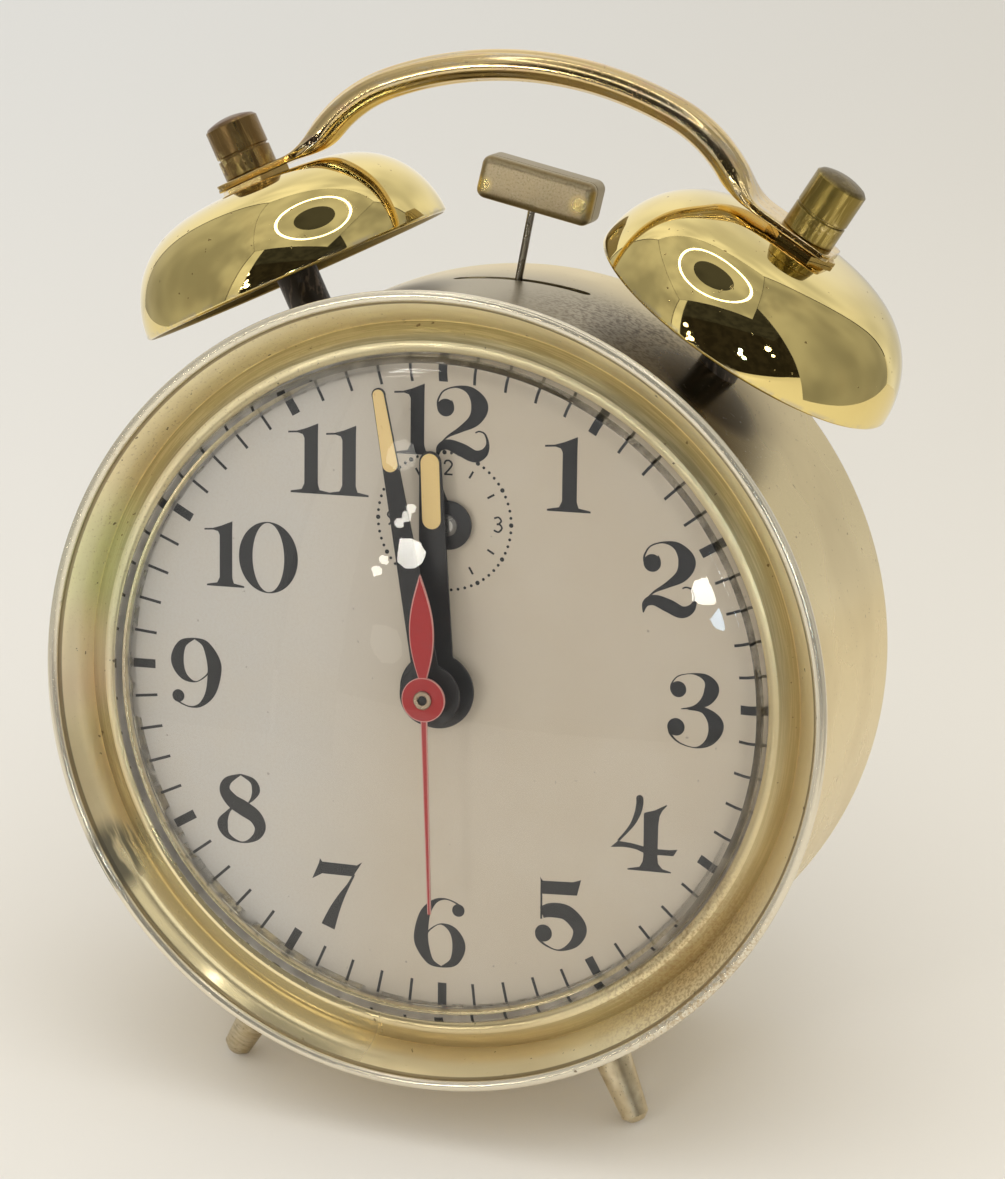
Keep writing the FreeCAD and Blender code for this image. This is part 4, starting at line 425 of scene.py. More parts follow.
def bezel_gold():
    """Satin champagne plate: silvery bead, a dark seam of painted shade, an olive groove partly darkened with
    painted shade, brown pits and a polished lower left brightened with a painted highlight.
    """
    finish = Finish("bezel_gold")
    radius = finish.radius()
    cloud = finish.cloud(0.1, 0.42, 0.62, 4.0)
    dust = finish.noise(2.4, 3.0, 0.7, shift=3.0)
    spots = finish.noise(0.9, 2.0, shift=7.0)
    upper_left = finish.near((-36, -5, 30), 12, 30)
    pitted = finish.levels(dust, 0.66, 0.72) * 0.5 + upper_left * finish.levels(dust, 0.56, 0.66) * 0.5
    deep = finish.levels(spots, 0.70, 0.73)
    turned = finish.rings(1.2, 3.0, 3.0)
    streaked = finish.rings(6.0, 0.6, 0.6)
    corroded = finish.near((36, -5, -30), 4, 16) * finish.levels(dust, 0.42, 0.62)
    # A near-black streaky patch at the lower left of the band
    near_black_streaks = finish.near((-42, -6, -28), 2.5, 3.5) * finish.levels(streaked, 0.4, 0.55)
    # Polished at the lower left, with a brighter colour there that is a painted highlight
    polish_and_painted_highlight = finish.near((-27, -5, -42), 13, 14)
    layers = [
        (cloud, 0.4, (0.86, 0.72, 0.42), 0.38),
        # Partly olive tarnish, partly painted shade on the groove's inner slope
        (finish.band(radius, 45.85, 48.05, 0.12), 0.8, (0.30, 0.24, 0.10), 0.30),
        (finish.levels(streaked, 0.45, 0.62), 0.3, (0.86, 0.74, 0.46), 0.36),
        (finish.near((42, -5, -12), 14, 26), 0.5, (0.62, 0.48, 0.25), 0.36),
        (finish.near((4, -5, -50), 12, 18), 0.7, (0.62, 0.49, 0.26), 0.3),
        # Painted highlight in the brighter colour; the low roughness is polish
        (polish_and_painted_highlight, 0.9, (0.98, 0.84, 0.50), 0.10),
        (finish.near((-50, -5, 8), 6, 12), 0.35, (0.66, 0.80, 0.46), 0.3),
        (finish.near((-50, -5, -2), 3, 8), 0.35, (0.95, 0.70, 0.58), 0.3),
        (finish.near((-46, -5, -20), 4, 8), 0.3, (0.52, 0.35, 0.15), 0.3),
        (finish.levels(radius, 51.15, 51.45), 0.8, (0.78, 0.73, 0.62), 0.18),
        # Painted shade in the narrow seam behind the bead
        (finish.band(radius, 50.95, 51.2, 0.1), 0.75, (0.16, 0.11, 0.05), 0.35),
        (corroded, 0.7, (0.42, 0.28, 0.13), 0.42),
        (pitted, 0.7, (0.40, 0.29, 0.14), 0.45),
        (near_black_streaks, 0.85, (0.12, 0.115, 0.09), 0.5),
        (deep, 0.8, (0.14, 0.09, 0.04), 0.5),
    ]
    relief = turned * 0.12 - pitted * 0.5
    finish.bump(relief - deep, 0.02)
    return finish.coat((0.98, 0.87, 0.56), 0.36, layers, 0.75)


def drum_gold():
    """Satin champagne plate, with dark specks by the right bell and an olive smudge at its post."""
    finish = Finish("drum_gold")
    dust = finish.noise(1.5, 4.0, 0.7, shift=2.0)
    cloud = finish.cloud(0.05, 0.42, 0.62, 3.0)
    specks = finish.cloud(2.2, 0.69, 0.73, 2.0, shift=4.0)
    dulled = finish.near((2, 4, 50), 16, 18)
    by_bell = finish.near((17, 11, 47), 6, 12) * finish.levels(dust, 0.44, 0.6)
    smudge = finish.near((29, 11, 41), 6.5, 3.5)
    nicks = finish.levels(finish.streaks((0.8, 0.9, 0.35), 2.0, 6.0), 0.70, 0.74)
    layers = [
        (cloud, 0.5, (0.70, 0.56, 0.29), 0.34),
        (dulled, 0.85, (0.35, 0.30, 0.20), 0.38),
        (by_bell, 0.75, (0.20, 0.15, 0.09), 0.5),
        (smudge, 0.85, (0.17, 0.12, 0.03), 0.22),
        (specks, 0.7, (0.26, 0.18, 0.09), 0.5),
        (nicks, 0.6, (0.22, 0.17, 0.09), 0.4),
    ]
    grain = finish.rings(2.0, 0.0, 2.0)
    finish.bump(grain * 0.1 - specks, 0.02)
    return finish.coat((0.81, 0.66, 0.34), 0.27, layers, 1.0)


def bell_brass(side, name):
    """Polished yellow brass with faint smudges, a few pits, a worn rim and a dull dark inside."""
    finish = Finish("bell_brass_" + name, bell_frame(side))
    smudge = finish.cloud(0.16, 0.45, 0.7, 4.0, 0.6)
    pits = finish.cloud(1.3, 0.745, 0.765, 1.0, shift=4.0)
    rim = finish.levels(finish.axis_value(2), BELL_RIM_DISTANCE + 0.1, BELL_RIM_DISTANCE + 0.7, 1.0, 0.0)
    worn = rim * finish.cloud(0.5, 0.4, 0.6, 3.0, shift=2.0)
    wide = finish.radius((1, 1, 0)) / BELL_RIM_RADIUS
    high = (finish.axis_value(2) - BELL_RIM_DISTANCE) / BELL_HEIGHT
    reach = wide ** BELL_SIDE_POWER + finish.math("MAXIMUM", high, 0.0) ** BELL_CROWN_POWER
    inside = finish.levels(reach, 0.90, 0.96, 1.0, 0.0)
    layers = [
        (smudge, 0.5, (0.84, 0.66, 0.27), 0.075),
        (worn, 0.8, (0.66, 0.57, 0.38), 0.24),
        (pits, 0.8, (0.35, 0.24, 0.09), 0.4),
        (inside, 0.95, (0.26, 0.19, 0.07), 0.42),
    ]
    wave = finish.noise(0.12, 2.0, shift=6.0)
    finish.bump(wave - pits * 0.3, 0.02)
    return finish.coat((0.88, 0.72, 0.30), 0.025, layers, 1.0)


def handle_brass():
    """Brass with coppery and silvery wear drawn out along the bar."""
    finish = Finish("handle_brass")
    silver = finish.levels(finish.streaks((0.10, 0.9, 0.35), 3.0), 0.48, 0.62)
    copper = finish.levels(finish.streaks((0.16, 1.2, 0.4), 3.0, 5.0), 0.54, 0.66)
    dust = finish.cloud(2.6, 0.62, 0.7, 2.0, 0.65, shift=8.0)
    drawn = finish.streaks((0.3, 7.0, 3.0), 2.0, 3.0)
    layers = [
        (silver, 0.55, (0.68, 0.62, 0.50), 0.2),
        (copper, 0.55, (0.70, 0.47, 0.29), 0.18),
        (dust, 0.6, (0.32, 0.22, 0.12), 0.4),
    ]
    finish.bump(drawn * 0.35 - dust * 0.6, 0.02)
    return finish.coat((0.78, 0.60, 0.30), 0.14, layers, 1.0)


def nut_brass(side, name, colour, streak, dome):
    """Tarnished nut with bare brass showing in streaks along it, darker on its domed end."""
    finish = Finish("nut_brass_" + name, bell_frame(side))
    streaks = finish.levels(finish.streaks((0.9, 0.9, 0.06), 3.0, 2.0), 0.50, 0.60)
    blotch = finish.cloud(0.9, 0.46, 0.6, 4.0, 0.65, shift=4.0)
    low = finish.levels(finish.axis_value(2), TAB_TOP + 1.5, TAB_TOP + 4.5, 1.0, 0.0)
    top = TAB_TOP + CAP_NUT_HEIGHTS[name]
    end = finish.levels(finish.axis_value(2), top - 1.1, top - 0.7)
    patch_place = (side * 2.4, -2.8, TAB_TOP + 2.3)
    bare = finish.near(patch_place, 0.7, 1.4) * blotch
    layers = [
        (streaks, 0.75, streak, 0.26),
        (low * blotch, 0.6, (0.44, 0.33, 0.11), 0.3),
        (bare, 0.9, (0.72, 0.58, 0.27), 0.22),
        (end, 0.8, dome, 0.34),
    ]
    finish.bump(streaks + blotch, 0.015)
    return finish.coat(colour, 0.3, layers, 1.0)


def head_nickel():
    """Speckled brown nickel, darker at its ends and its top and bottom edges with painted shade, rubbed to brass
    at both ends.
    """
    finish = Finish("head_nickel", HAMMER)
    grain = finish.noise(3.4, 3.0, 0.7)
    cloud = finish.cloud(0.5, 0.42, 0.6, 3.0, shift=5.0)
    # Painted shade: darker towards the block's ends and its top and bottom edges
    across = finish.levels(finish.math("ABSOLUTE", finish.axis_value(0)), 6.4, 7.7)
    upright = finish.levels(finish.math("ABSOLUTE", finish.axis_value(2)), 1.7, 2.6)
    edge = finish.math("MAXIMUM", across, upright)
    rubbed = finish.math("MAXIMUM", finish.near((6.3, -2.6, -0.2), 0.5, 1.3),
                         finish.near((-6.9, -2.6, -1.0), 0.4, 1.1))
    back = finish.levels(finish.axis_value(1), -1.6, -0.4)
    layers = [
        (finish.levels(grain, 0.5, 0.66), 0.6, (0.66, 0.57, 0.42), 0.38),
        (finish.levels(grain, 0.36, 0.48, 1.0, 0.0), 0.5, (0.30, 0.23, 0.13), 0.5),
        (cloud, 0.3, (0.62, 0.50, 0.31), 0.4),
        # Painted shade on the ends and edges
        (edge, 0.6, (0.30, 0.24, 0.12), 0.4),
        (back, 0.6, (0.34, 0.27, 0.14), 0.4),
        (rubbed, 0.9, (0.82, 0.66, 0.30), 0.2),
    ]
    finish.bump(grain, 0.03)
    return finish.coat((0.58, 0.48, 0.32), 0.4, layers, 1.0)


def foot_nickel(side, name):
    """Dull nickel over brass with fine turned rings; painted shade makes the left foot darker and painted light
    makes the right one lighter.
    """
    finish = Finish("foot_nickel_" + name, foot_frame(side))
    rings = finish.rings(1.0, 0.0, 3.2, (1, 1, 0))
    cloud = finish.cloud(0.3, 0.42, 0.62, 4.0)
    specks = finish.cloud(2.2, 0.64, 0.7, 2.0, shift=3.0)
    layers = [
        (finish.levels(rings, 0.4, 0.6), 0.5, (0.80, 0.70, 0.52), 0.26),
        (cloud, 0.5, (0.50, 0.39, 0.21), 0.36),
        (specks, 0.6, (0.20, 0.15, 0.08), 0.5),
    ]
    finish.bump(rings - specks, 0.025)
    # Painted shade and light: the left foot gets a darker colour and the right one a lighter colour
    colour = (0.48, 0.41, 0.28) if side < 0 else (0.80, 0.70, 0.50)
    return finish.coat(colour, 0.34, layers, 1.0)


def post_black():
    """Blackened steel with brown rubbed streaks."""
    finish = Finish("post_black")
    streaks = finish.levels(finish.streaks((1.6, 1.6, 0.3), 3.0), 0.50, 0.64)
    layers = [(streaks, 0.6, (0.26, 0.20, 0.15), 0.36)]
    finish.bump(streaks, 0.02)
    return finish.coat((0.07, 0.06, 0.05), 0.4, layers, 0.8)


# Dial, hands and crystal

def dial_paper():
    """Lacquered off-white dial, yellower to the right, as painted light makes its left paler and bluer, with faint
    mottling, fine grain and a few specks.
    """
    finish = Finish("dial_white")
    mottle = finish.cloud(0.08, 0.35, 0.7, 4.0)
    grain = finish.noise(3.0, 3.0)
    dirt = finish.cloud(1.1, 0.765, 0.785, 1.0, shift=6.0)
    layers = [
        # Painted light: paler and bluer on the left of the dial
        (finish.levels(finish.axis_value(0), -25, 0, 1.0, 0.0), 0.8, (0.65, 0.63, 0.59), 0.46),
        (mottle, 0.4, (0.67, 0.60, 0.49), 0.5),
        (finish.levels(grain, 0.4, 0.65), 0.25, (0.57, 0.50, 0.41), 0.56),
        (dirt, 0.6, (0.30, 0.25, 0.20), 0.6),
    ]
    finish.bump(grain, 0.006)
    return finish.coat((0.61, 0.525, 0.40), 0.46, layers)


def ink():
    """Printed black with tiny worn specks."""
    finish = Finish("dial_ink")
    specks = finish.cloud(4.0, 0.67, 0.73, 2.0)
    finish.bump(finish.noise(5.0), 0.006)
    return finish.coat((0.007, 0.007, 0.008), 0.42, [(specks, 1.0, (0.14, 0.14, 0.13), 0.6)])


def painted(name, colour, second, smooth):
    """Painted hand with uneven gloss and small chips."""
    finish = Finish(name)
    chips = finish.cloud(2.5, 0.6, 0.7, 3.0)
    finish.bump(finish.noise(2.0, 3.0), 0.02)
    return finish.coat(colour, smooth, [(chips, 1.0, second, smooth + 0.2)])


def glass():
    """Clear acrylic with very fine hazing."""
    finish = Finish("crystal_glass")
    haze = finish.levels(finish.noise(0.5, 3.0), 0.4, 0.8, 0.0, 0.015)
    finish.bump(finish.noise(0.12, 1.0, shift=4.0), 0.01)
    return finish.set(Base_Color=rgb(1.0, 1.0, 1.0), Roughness=haze, IOR=CRYSTAL_IOR, Transmission_Weight=1.0)


BEZEL_GOLD = bezel_gold()
DRUM_GOLD = drum_gold()
HANDLE_BRASS = handle_brass()
NICKEL = head_nickel()
STEEL = metal("steel", (0.44, 0.42, 0.38), (0.16, 0.13, 0.09), 0.26)
WHEEL_BRASS = metal("wheel_brass", (0.74, 0.57, 0.27), (0.35, 0.24, 0.10), 0.24)
NUT_GOLD = metal("nut_gold", (0.82, 0.64, 0.30), (0.40, 0.26, 0.10), 0.16)
BACK_PLATE = metal("back_plate", (0.74, 0.64, 0.41), (0.36, 0.27, 0.14), 0.24)
KNOB_BRASS = metal("knob_brass", (0.76, 0.60, 0.30), (0.30, 0.20, 0.10), 0.2)
POST_BLACK = post_black()
DIAL_WHITE = dial_paper()
INK = ink()
HAND_BLACK = painted("hand_black", (0.006, 0.005, 0.005), (0.035, 0.026, 0.020), 0.3)
HAND_RED = painted("hand_red", (0.40, 0.006, 0.006), (0.30, 0.005, 0.005), 0.28)
PIN_STEEL = metal("pin_steel", (0.17, 0.16, 0.145), (0.07, 0.06, 0.05), 0.3)
BUSH_BRASS = metal("bush_brass", (0.40, 0.31, 0.22), (0.16, 0.11, 0.06), 0.3)
RED_EDGE = painted("hand_edge", (0.62, 0.30, 0.26), (0.5, 0.2, 0.18), 0.4)
LUME = painted("lume", (0.88, 0.64, 0.27), (0.78, 0.53, 0.20), 0.6)
GLASS = glass()


# Case

def make_bezel():
    """Outer bead, dished band, raised inner ring and the lip round the crystal."""
    profile = [(51.95, -6.2)]
    profile += arc((51.95, -6.2), (52.7, -6.95), (51.95, -7.7), 12)
    profile += arc((51.95, -7.7), (51.42, -7.48), (51.2, -6.95), 8)
    profile += arc((51.2, -6.95), (51.07, -6.76), (51.0, -6.7), 3)
    profile += arc((51.0, -6.7), (49.15, -4.2), (48.2, -2.3), 20)
    profile += arc((48.2, -2.3), (46.75, -3.55), (45.6, -4.1), 16)
    profile += arc((45.6, -4.1), (44.75, -4.02), (44.3, -3.5), 10)
    profile += [(44.3, -1.7), (45.6, -1.7), (45.6, 0), (48.75, 0), (48.75, 3), (49.55, 3)]
    profile += [(49.55, DRUM_EDGE), (50.45, DRUM_EDGE), (50.45, DRUM_EDGE - 1.3), (51.0, -6.0)]
    new_piece("bezel_ring", lathe(profile, steps=DRUM_STEPS), CASE, BEZEL_GOLD, "case",
              ["bezel"])


def slot_point(share):
    """A point of the slot's rounded outline as (x, y), for a share of its way round."""
    radius = SLOT_WIDTH / 2
    straight = SLOT_LENGTH - SLOT_WIDTH
    around = 2 * straight + math.tau * radius
    run = share * around
    if run < straight:
        return -straight / 2 + run, SLOT_DEPTH + radius
    run -= straight
    if run < math.pi * radius:
        turn = math.pi / 2 - run / radius
        return straight / 2 + radius * math.cos(turn), SLOT_DEPTH + radius * math.sin(turn)
    run -= math.pi * radius
    if run < straight:
        return straight / 2 - run, SLOT_DEPTH - radius
    turn = -math.pi / 2 - (run - straight) / radius
    return -straight / 2 + radius * math.cos(turn), SLOT_DEPTH + radius * math.sin(turn)


def make_drum():
    """The rolled drum with its slot, open at the front and flanged at the back."""
    rounded, wall = DRUM_REAR_ROUND, DRUM_WALL
    inner = DRUM_RADIUS - wall
    diagonal = math.sqrt(0.5)
    shoulder = DRUM_RADIUS - rounded
    profile = [(inner, DRUM_EDGE), (DRUM_RADIUS, DRUM_EDGE), (DRUM_RADIUS, 8.0), (DRUM_RADIUS, 36.0)]
    profile.append((DRUM_RADIUS, DRUM_REAR - rounded))
    profile += arc((DRUM_RADIUS, DRUM_REAR - rounded),
                   (shoulder + rounded * diagonal, DRUM_REAR - rounded * (1 - diagonal)),
                   (shoulder, DRUM_REAR), 10)
    profile += [(DRUM_REAR_FLANGE_RADIUS, DRUM_REAR), (DRUM_REAR_FLANGE_RADIUS, DRUM_REAR - wall)]
    thin = rounded - wall
    profile.append((shoulder, DRUM_REAR - wall))
    profile += arc((shoulder, DRUM_REAR - wall),
                   (shoulder + thin * diagonal, DRUM_REAR - rounded + thin * diagonal),
                   (inner, DRUM_REAR - rounded), 8)
    profile += [(inner, 36.0), (inner, 8.0)]
    drum = new_piece("drum_shell", lathe(profile, steps=DRUM_STEPS), CASE, DRUM_GOLD, "case",
                     ["case_drum"])
    outline = [slot_point(k / 96) for k in range(96)]
    rings = [[(x, y, z) for x, y in outline] for z in (DRUM_RADIUS - 4, DRUM_RADIUS + 4)]
    cutter = added("slot_cutter", new_mesh("slot_cutter", tube_of_rings(rings), CASE))
    bpy.context.view_layer.update()
    cut = drum.modifiers.new("slot", "BOOLEAN")
    cut.operation = "DIFFERENCE"
    cut.object = cutter
    cut.solver = "EXACT"
    graph = bpy.context.evaluated_depsgraph_get()
    result = bpy.data.meshes.new_from_object(drum.evaluated_get(graph))
    drum.modifiers.remove(cut)
    drum.data = result
    bpy.data.objects.remove(cutter)
    result.set_sharp_from_angle(angle=math.radians(SHARP_ANGLE))


def make_crystal():
    """The domed crystal with its side wall and foot, one closed shell."""
    outer = [(0.0, -13.3)] + arc((0.0, -13.3), (23.155, -11.243), (42.1, -6.5), 40)
    outer += arc((42.1, -6.5), (43.5, -6.0), (44.0, -4.6), 8)
    outer += [(44.0, -1.7), (45.55, -1.7), (45.55, 0.0), (42.8, 0.0), (42.8, -4.6)]
    inner = [(42.1, -5.3)] + arc((42.1, -5.3), (23.155, -10.043), (0.0, -12.1), 40)
    crystal = new_piece("crystal_dome", lathe(outer + inner), CASE, GLASS, "case",
                        ["crystal"], 30)
    crystal.visible_shadow = False


def make_dial():
    """The dial plate, without its centre hole, which the hands' bosses cover."""
    profile = [(0.0, 0.0), (DIAL_RADIUS, 0.0), (DIAL_RADIUS, DIAL_THICKNESS), (0.0, DIAL_THICKNESS)]
    new_piece("dial_plate", lathe(profile), MOVEMENT, DIAL_WHITE, "case", ["dial"])


# Printing on the dial

PRINT_HEIGHT = 0.03


def smooth_line(points, steps=10):
    """Points of (x, z, width) along a smooth line through the given ones."""
    ends = [points[0]] + list(points) + [points[-1]]
    line = []
    for k in range(1, len(ends) - 2):
        before, here, after, beyond = ends[k - 1:k + 3]
        for step in range(steps):
            t = step / steps
            line.append(tuple(0.5 * (2 * h + (a - b) * t + (2 * b - 5 * h + 4 * a - f) * t * t
                                     + (3 * h - b - 3 * a + f) * t ** 3)
                              for b, h, a, f in zip(before, here, after, beyond)))
    line.append(tuple(points[-1]))
    return line


def brush(points):
    """A flat stroke of changing width with square ends."""
    line = smooth_line(points)
    vertices, faces = [], []
    for k, (x, z, width) in enumerate(line):
        before, after = line[max(k - 1, 0)], line[min(k + 1, len(line) - 1)]
        run = Vector((after[0] - before[0], after[1] - before[1])).normalized()
        half = max(width, 0.08) / 2
        vertices += [(x - run.y * half, 0, z + run.x * half), (x + run.y * half, 0, z - run.x * half)]
    for k in range(len(line) - 1):
        faces.append([2 * k, 2 * k + 1, 2 * k + 3, 2 * k + 2])
    return vertices, faces


def disc(x, z, radius, steps=32):
    """A flat round spot."""
    return [(x + across, 0, z + up) for across, up in on_circle(radius, steps)], [list(range(steps))]


def patch(points):
    """A flat shape from its outline."""
    return [(x, 0, z) for x, z in points], [list(range(len(points)))]


def upright_bar(half, low, high):
    """A flat bar between two heights."""
    return patch([(-half, low), (half, low), (half, high), (-half, high)])


def placed(shape, x, z, turn=0.0, size=1.0):
    """A flat shape moved, turned clockwise and scaled."""
    vertices, faces = shape
    c, s = math.cos(math.radians(turn)), math.sin(math.radians(turn))
    moved = [(x + size * (vx * c + vz * s), vy, z + size * (vz * c - vx * s)) for vx, vy, vz in vertices]
    return moved, faces


def oval_ring(wide, narrow, high, low, steps=64):
    """A flat ring between two ovals, given by their half widths and half heights."""
    outer = [(wide * x, 0, high * z) for x, z in on_circle(1, steps)]
    inner = [(narrow * x, 0, low * z) for x, z in on_circle(1, steps)]
    return outer + inner, ring_faces(steps)


# The hour figures, about 9.6 mm high, round their own middle
FIGURES = {
    "1": patch([(-3.2, 3.75), (-1.9, 3.85), (-0.6, 4.25), (1.15, 5.0), (1.1, 3.5), (1.05, -3.4), (1.3, -4.2),
                (2.9, -4.5), (2.9, -4.75), (-2.9, -4.75), (-2.9, -4.5), (-1.3, -4.2), (-0.9, -3.4),
                (-0.85, 2.9), (-1.1, 3.4), (-1.8, 3.6), (-3.2, 3.5)]),
    "2": merged([
        disc(-2.3, 2.1, 1.15),
        brush([(-1.4, 2.4, 0.5), (-1.5, 3.1, 0.12)]),
        brush([(-3.35, 2.2, 0.3), (-3.3, 3.1, 0.25), (-2.5, 4.3, 0.2), (-0.7, 4.85, 0.3), (1.1, 4.35, 1.2),
               (2.25, 2.6, 2.3), (1.6, 0.75, 1.7), (-0.25, -0.6, 0.8), (-1.95, -1.6, 0.3),
               (-2.95, -2.65, 0.15), (-3.4, -3.9, 0.12)]),
        brush([(-3.4, -4.4, 0.15), (-3.1, -3.2, 0.9), (-1.95, -2.7, 1.4), (-0.1, -3.3, 1.75),
               (1.6, -4.0, 1.6), (2.85, -3.5, 1.1), (3.35, -2.35, 0.45), (3.0, -1.1, 0.25),
               (2.25, -0.75, 0.2), (1.7, -0.95, 0.2)]),
    ]),
    "3": merged([
        disc(-2.25, 2.65, 1.05),
        disc(-2.5, -2.3, 1.15),
        brush([(-3.2, 2.5, 0.3), (-3.1, 3.4, 0.2), (-2.2, 4.4, 0.15), (-0.3, 4.8, 0.18), (1.4, 4.35, 1.0),
               (2.15, 3.05, 1.95), (1.5, 1.5, 1.5), (0.0, 0.5, 0.5), (-1.85, 0.1, 0.12)]),
        brush([(-0.95, 0.2, 0.3), (1.2, 0.1, 0.9), (2.75, -1.6, 2.05), (2.1, -3.7, 1.25), (0.3, -4.8, 0.22),
               (-1.9, -4.4, 0.2), (-3.2, -3.3, 0.3), (-3.5, -2.2, 0.2)]),
    ]),
    "4": merged([
        disc(-0.66, 4.65, 0.48),
        brush([(-0.66, 4.65, 0.95), (-0.66, 3.9, 0.95), (-0.92, 2.7, 0.85), (-1.54, 1.28, 0.6),
               (-2.39, 0.1, 0.4), (-3.5, -1.2, 0.3)]),
        patch([(-4.5, -2.1), (-3.5, -1.2), (-2.86, -1.25), (-1.7, -1.35), (-0.6, -1.55), (0.9, -1.85),
               (3.4, -1.85), (4.45, -1.7), (3.9, -2.6), (0.9, -2.65), (-0.1, -2.5), (-0.97, -2.15),
               (-1.9, -2.0), (-2.86, -1.95)]),
        patch([(-0.1, 2.7), (0.05, 2.85), (1.4, 3.27), (2.9, 4.1), (3.0, 4.0), (2.35, 3.25), (2.0, 2.5),
               (1.85, 1.28), (1.78, -2.9), (1.88, -3.8), (2.45, -4.45), (3.6, -4.75), (3.6, -4.92),
               (-2.2, -4.92), (-2.2, -4.75), (-0.6, -4.4), (-0.2, -3.7), (-0.1, -2.9)]),
    ]),
    "5": merged([
        disc(-2.35, -2.7, 1.15),
        brush([(-1.45, -2.4, 0.45), (-1.35, -3.2, 0.12)]),
        patch([(-2.85, 4.85), (-2.5, 4.35), (1.6, 4.5), (2.7, 4.9), (2.15, 2.75), (-2.5, 2.6)]),
        brush([(-2.66, 4.5, 0.26), (-2.66, -0.8, 0.26)]),
        brush([(-2.6, 0.05, 1.5), (-1.2, 0.5, 1.95), (0.9, 0.25, 2.05), (2.55, -1.6, 1.95),
               (1.9, -3.6, 1.25), (-0.1, -4.8, 0.25), (-1.95, -4.35, 0.25), (-3.1, -3.4, 0.4),
               (-3.4, -2.6, 0.2)]),
    ]),
    "9": merged([
        disc(-2.5, -3.25, 0.85),
        brush([(-0.15, 4.65, 0.2), (-1.9, 3.75, 1.2), (-2.6, 1.6, 1.8), (-1.8, -0.4, 1.1),
               (-0.15, -1.2, 0.2), (1.3, -0.4, 0.2), (2.0, 0.6, 0.2)]),
        brush([(-0.15, 4.65, 0.2), (1.4, 3.95, 1.0), (2.5, 1.8, 1.9), (2.6, 0.0, 1.9), (2.05, -2.5, 1.4),
               (0.8, -4.15, 0.65), (-0.6, -4.65, 0.22), (-2.0, -4.3, 0.2), (-3.1, -3.6, 0.3)]),
    ]),
    "7": merged([
        patch([(-2.4, 4.75), (-2.1, 4.3), (2.75, 4.2), (3.5, 4.7), (2.2, 2.65), (-2.1, 2.7), (-3.5, 1.9),
               (-2.55, 4.1)]),
        brush([(2.35, 2.9, 0.3), (1.55, 1.4, 0.45), (0.6, -0.2, 0.9), (-0.4, -2.2, 1.45),
               (-1.3, -4.5, 1.95)]),
    ]),
    "8": merged([
        brush([(-0.1, 4.6, 0.2), (-1.9, 3.6, 1.1), (-2.35, 2.3, 1.5), (-1.3, 0.9, 1.9), (0.3, 0.0, 2.1),
               (1.9, -1.0, 1.9), (2.6, -2.4, 1.6), (1.95, -3.8, 1.0), (0.1, -4.65, 0.2), (-2.0, -3.9, 0.8),
               (-2.7, -2.3, 1.5), (-2.0, -0.8, 0.6), (-1.2, 0.1, 0.2)]),
        brush([(-0.1, 4.6, 0.2), (1.55, 3.85, 0.8), (2.05, 2.65, 1.15), (1.6, 1.5, 0.6), (1.0, 0.8, 0.2)]),
    ]),
    "0": oval_ring(4.1, 2.2, 4.75, 4.6),
}
FIGURES["6"] = placed(FIGURES["9"], 0, 0, 180)
NUMERAL_PLACES = {1: (16.8, 28.8), 2: (30.2, 16.1), 3: (33.8, -0.6), 4: (27.3, -17.4), 5: (16.2, -29.2),
                  6: (-0.3, -33.2), 7: (-14.6, -29.3), 8: (-28.0, -18.7), 9: (-34.3, -0.8)}
PAIR_PLACES = {10: ((-30.0, 15.4, 0.9), (-24.0, 15.4, 1.0)), 11: ((-18.1, 28.8, 0.95), (-12.9, 28.8, 0.95)),
               12: ((-3.6, 34.8, 0.95), (2.6, 34.5, 1.0))}


def printed(name, shapes):
    """Flat printing just in front of the dial."""
    vertices, faces = merged(shapes)
    raised = [(x, -PRINT_HEIGHT, z) for x, _, z in vertices]
    new_piece(name, (raised, faces), MOVEMENT, INK, "case")


def make_numerals():
    """The twelve hour numerals, upright on the dial."""
    shapes = [placed(FIGURES[str(hour)], x, z) for hour, (x, z) in NUMERAL_PLACES.items()]
    for hour, places in PAIR_PLACES.items():
        shapes += [placed(FIGURES[mark], x, z, 0, size) for mark, (x, z, size) in zip(str(hour), places)]
    printed("dial_numerals", shapes)


MINUTE_INNER = 40.0
MINUTE_OUTER = 43.6
WIDE_MARK = 1.2
THIN_MARK = 0.38


def make_minute_track():
    """Sixty minute marks, with a wide bar at every fifth."""
    halves = [WIDE_MARK / 2 if minute % 5 == 0 else THIN_MARK / 2 for minute in range(60)]
    printed("minute_track", [placed(upright_bar(half, MINUTE_INNER, MINUTE_OUTER), 0, 0, 6 * minute)
                             for minute, half in enumerate(halves)])


ALARM_DIAL_CENTRE = (0.15, 21.8)
ALARM_DOT_CIRCLE = 9.0
ALARM_STROKE = 0.24
SMALL_SIX = [(0.35, 0.95), (-0.3, 0.2), (-0.5, -0.4), (0.0, -0.95), (0.5, -0.4), (0.0, 0.1), (-0.4, -0.2)]
# Its figures 12, 3, 6 and 9: strokes, place on the alarm dial, turn
ALARM_FIGURES = (
    ([[(0.0, 0.95), (0.0, -0.95)]], (-0.75, 7.0), 0),
    ([[(-0.5, 0.45), (-0.35, 0.85), (0.1, 0.95), (0.5, 0.6), (0.35, 0.1), (-0.5, -0.9)],
      [(-0.55, -0.85), (0.6, -0.85)]], (0.5, 7.0), 0),
    ([[(-0.5, 0.8), (0.1, 0.95), (0.45, 0.5), (0.1, 0.08), (-0.15, 0.05)],
      [(-0.15, 0.08), (0.3, 0.0), (0.55, -0.45), (0.1, -0.95), (-0.55, -0.75)]], (7.2, 0.0), 0),
    ([SMALL_SIX], (0.0, -7.0), 0),
    ([SMALL_SIX], (-7.2, 0.0), 180),
)


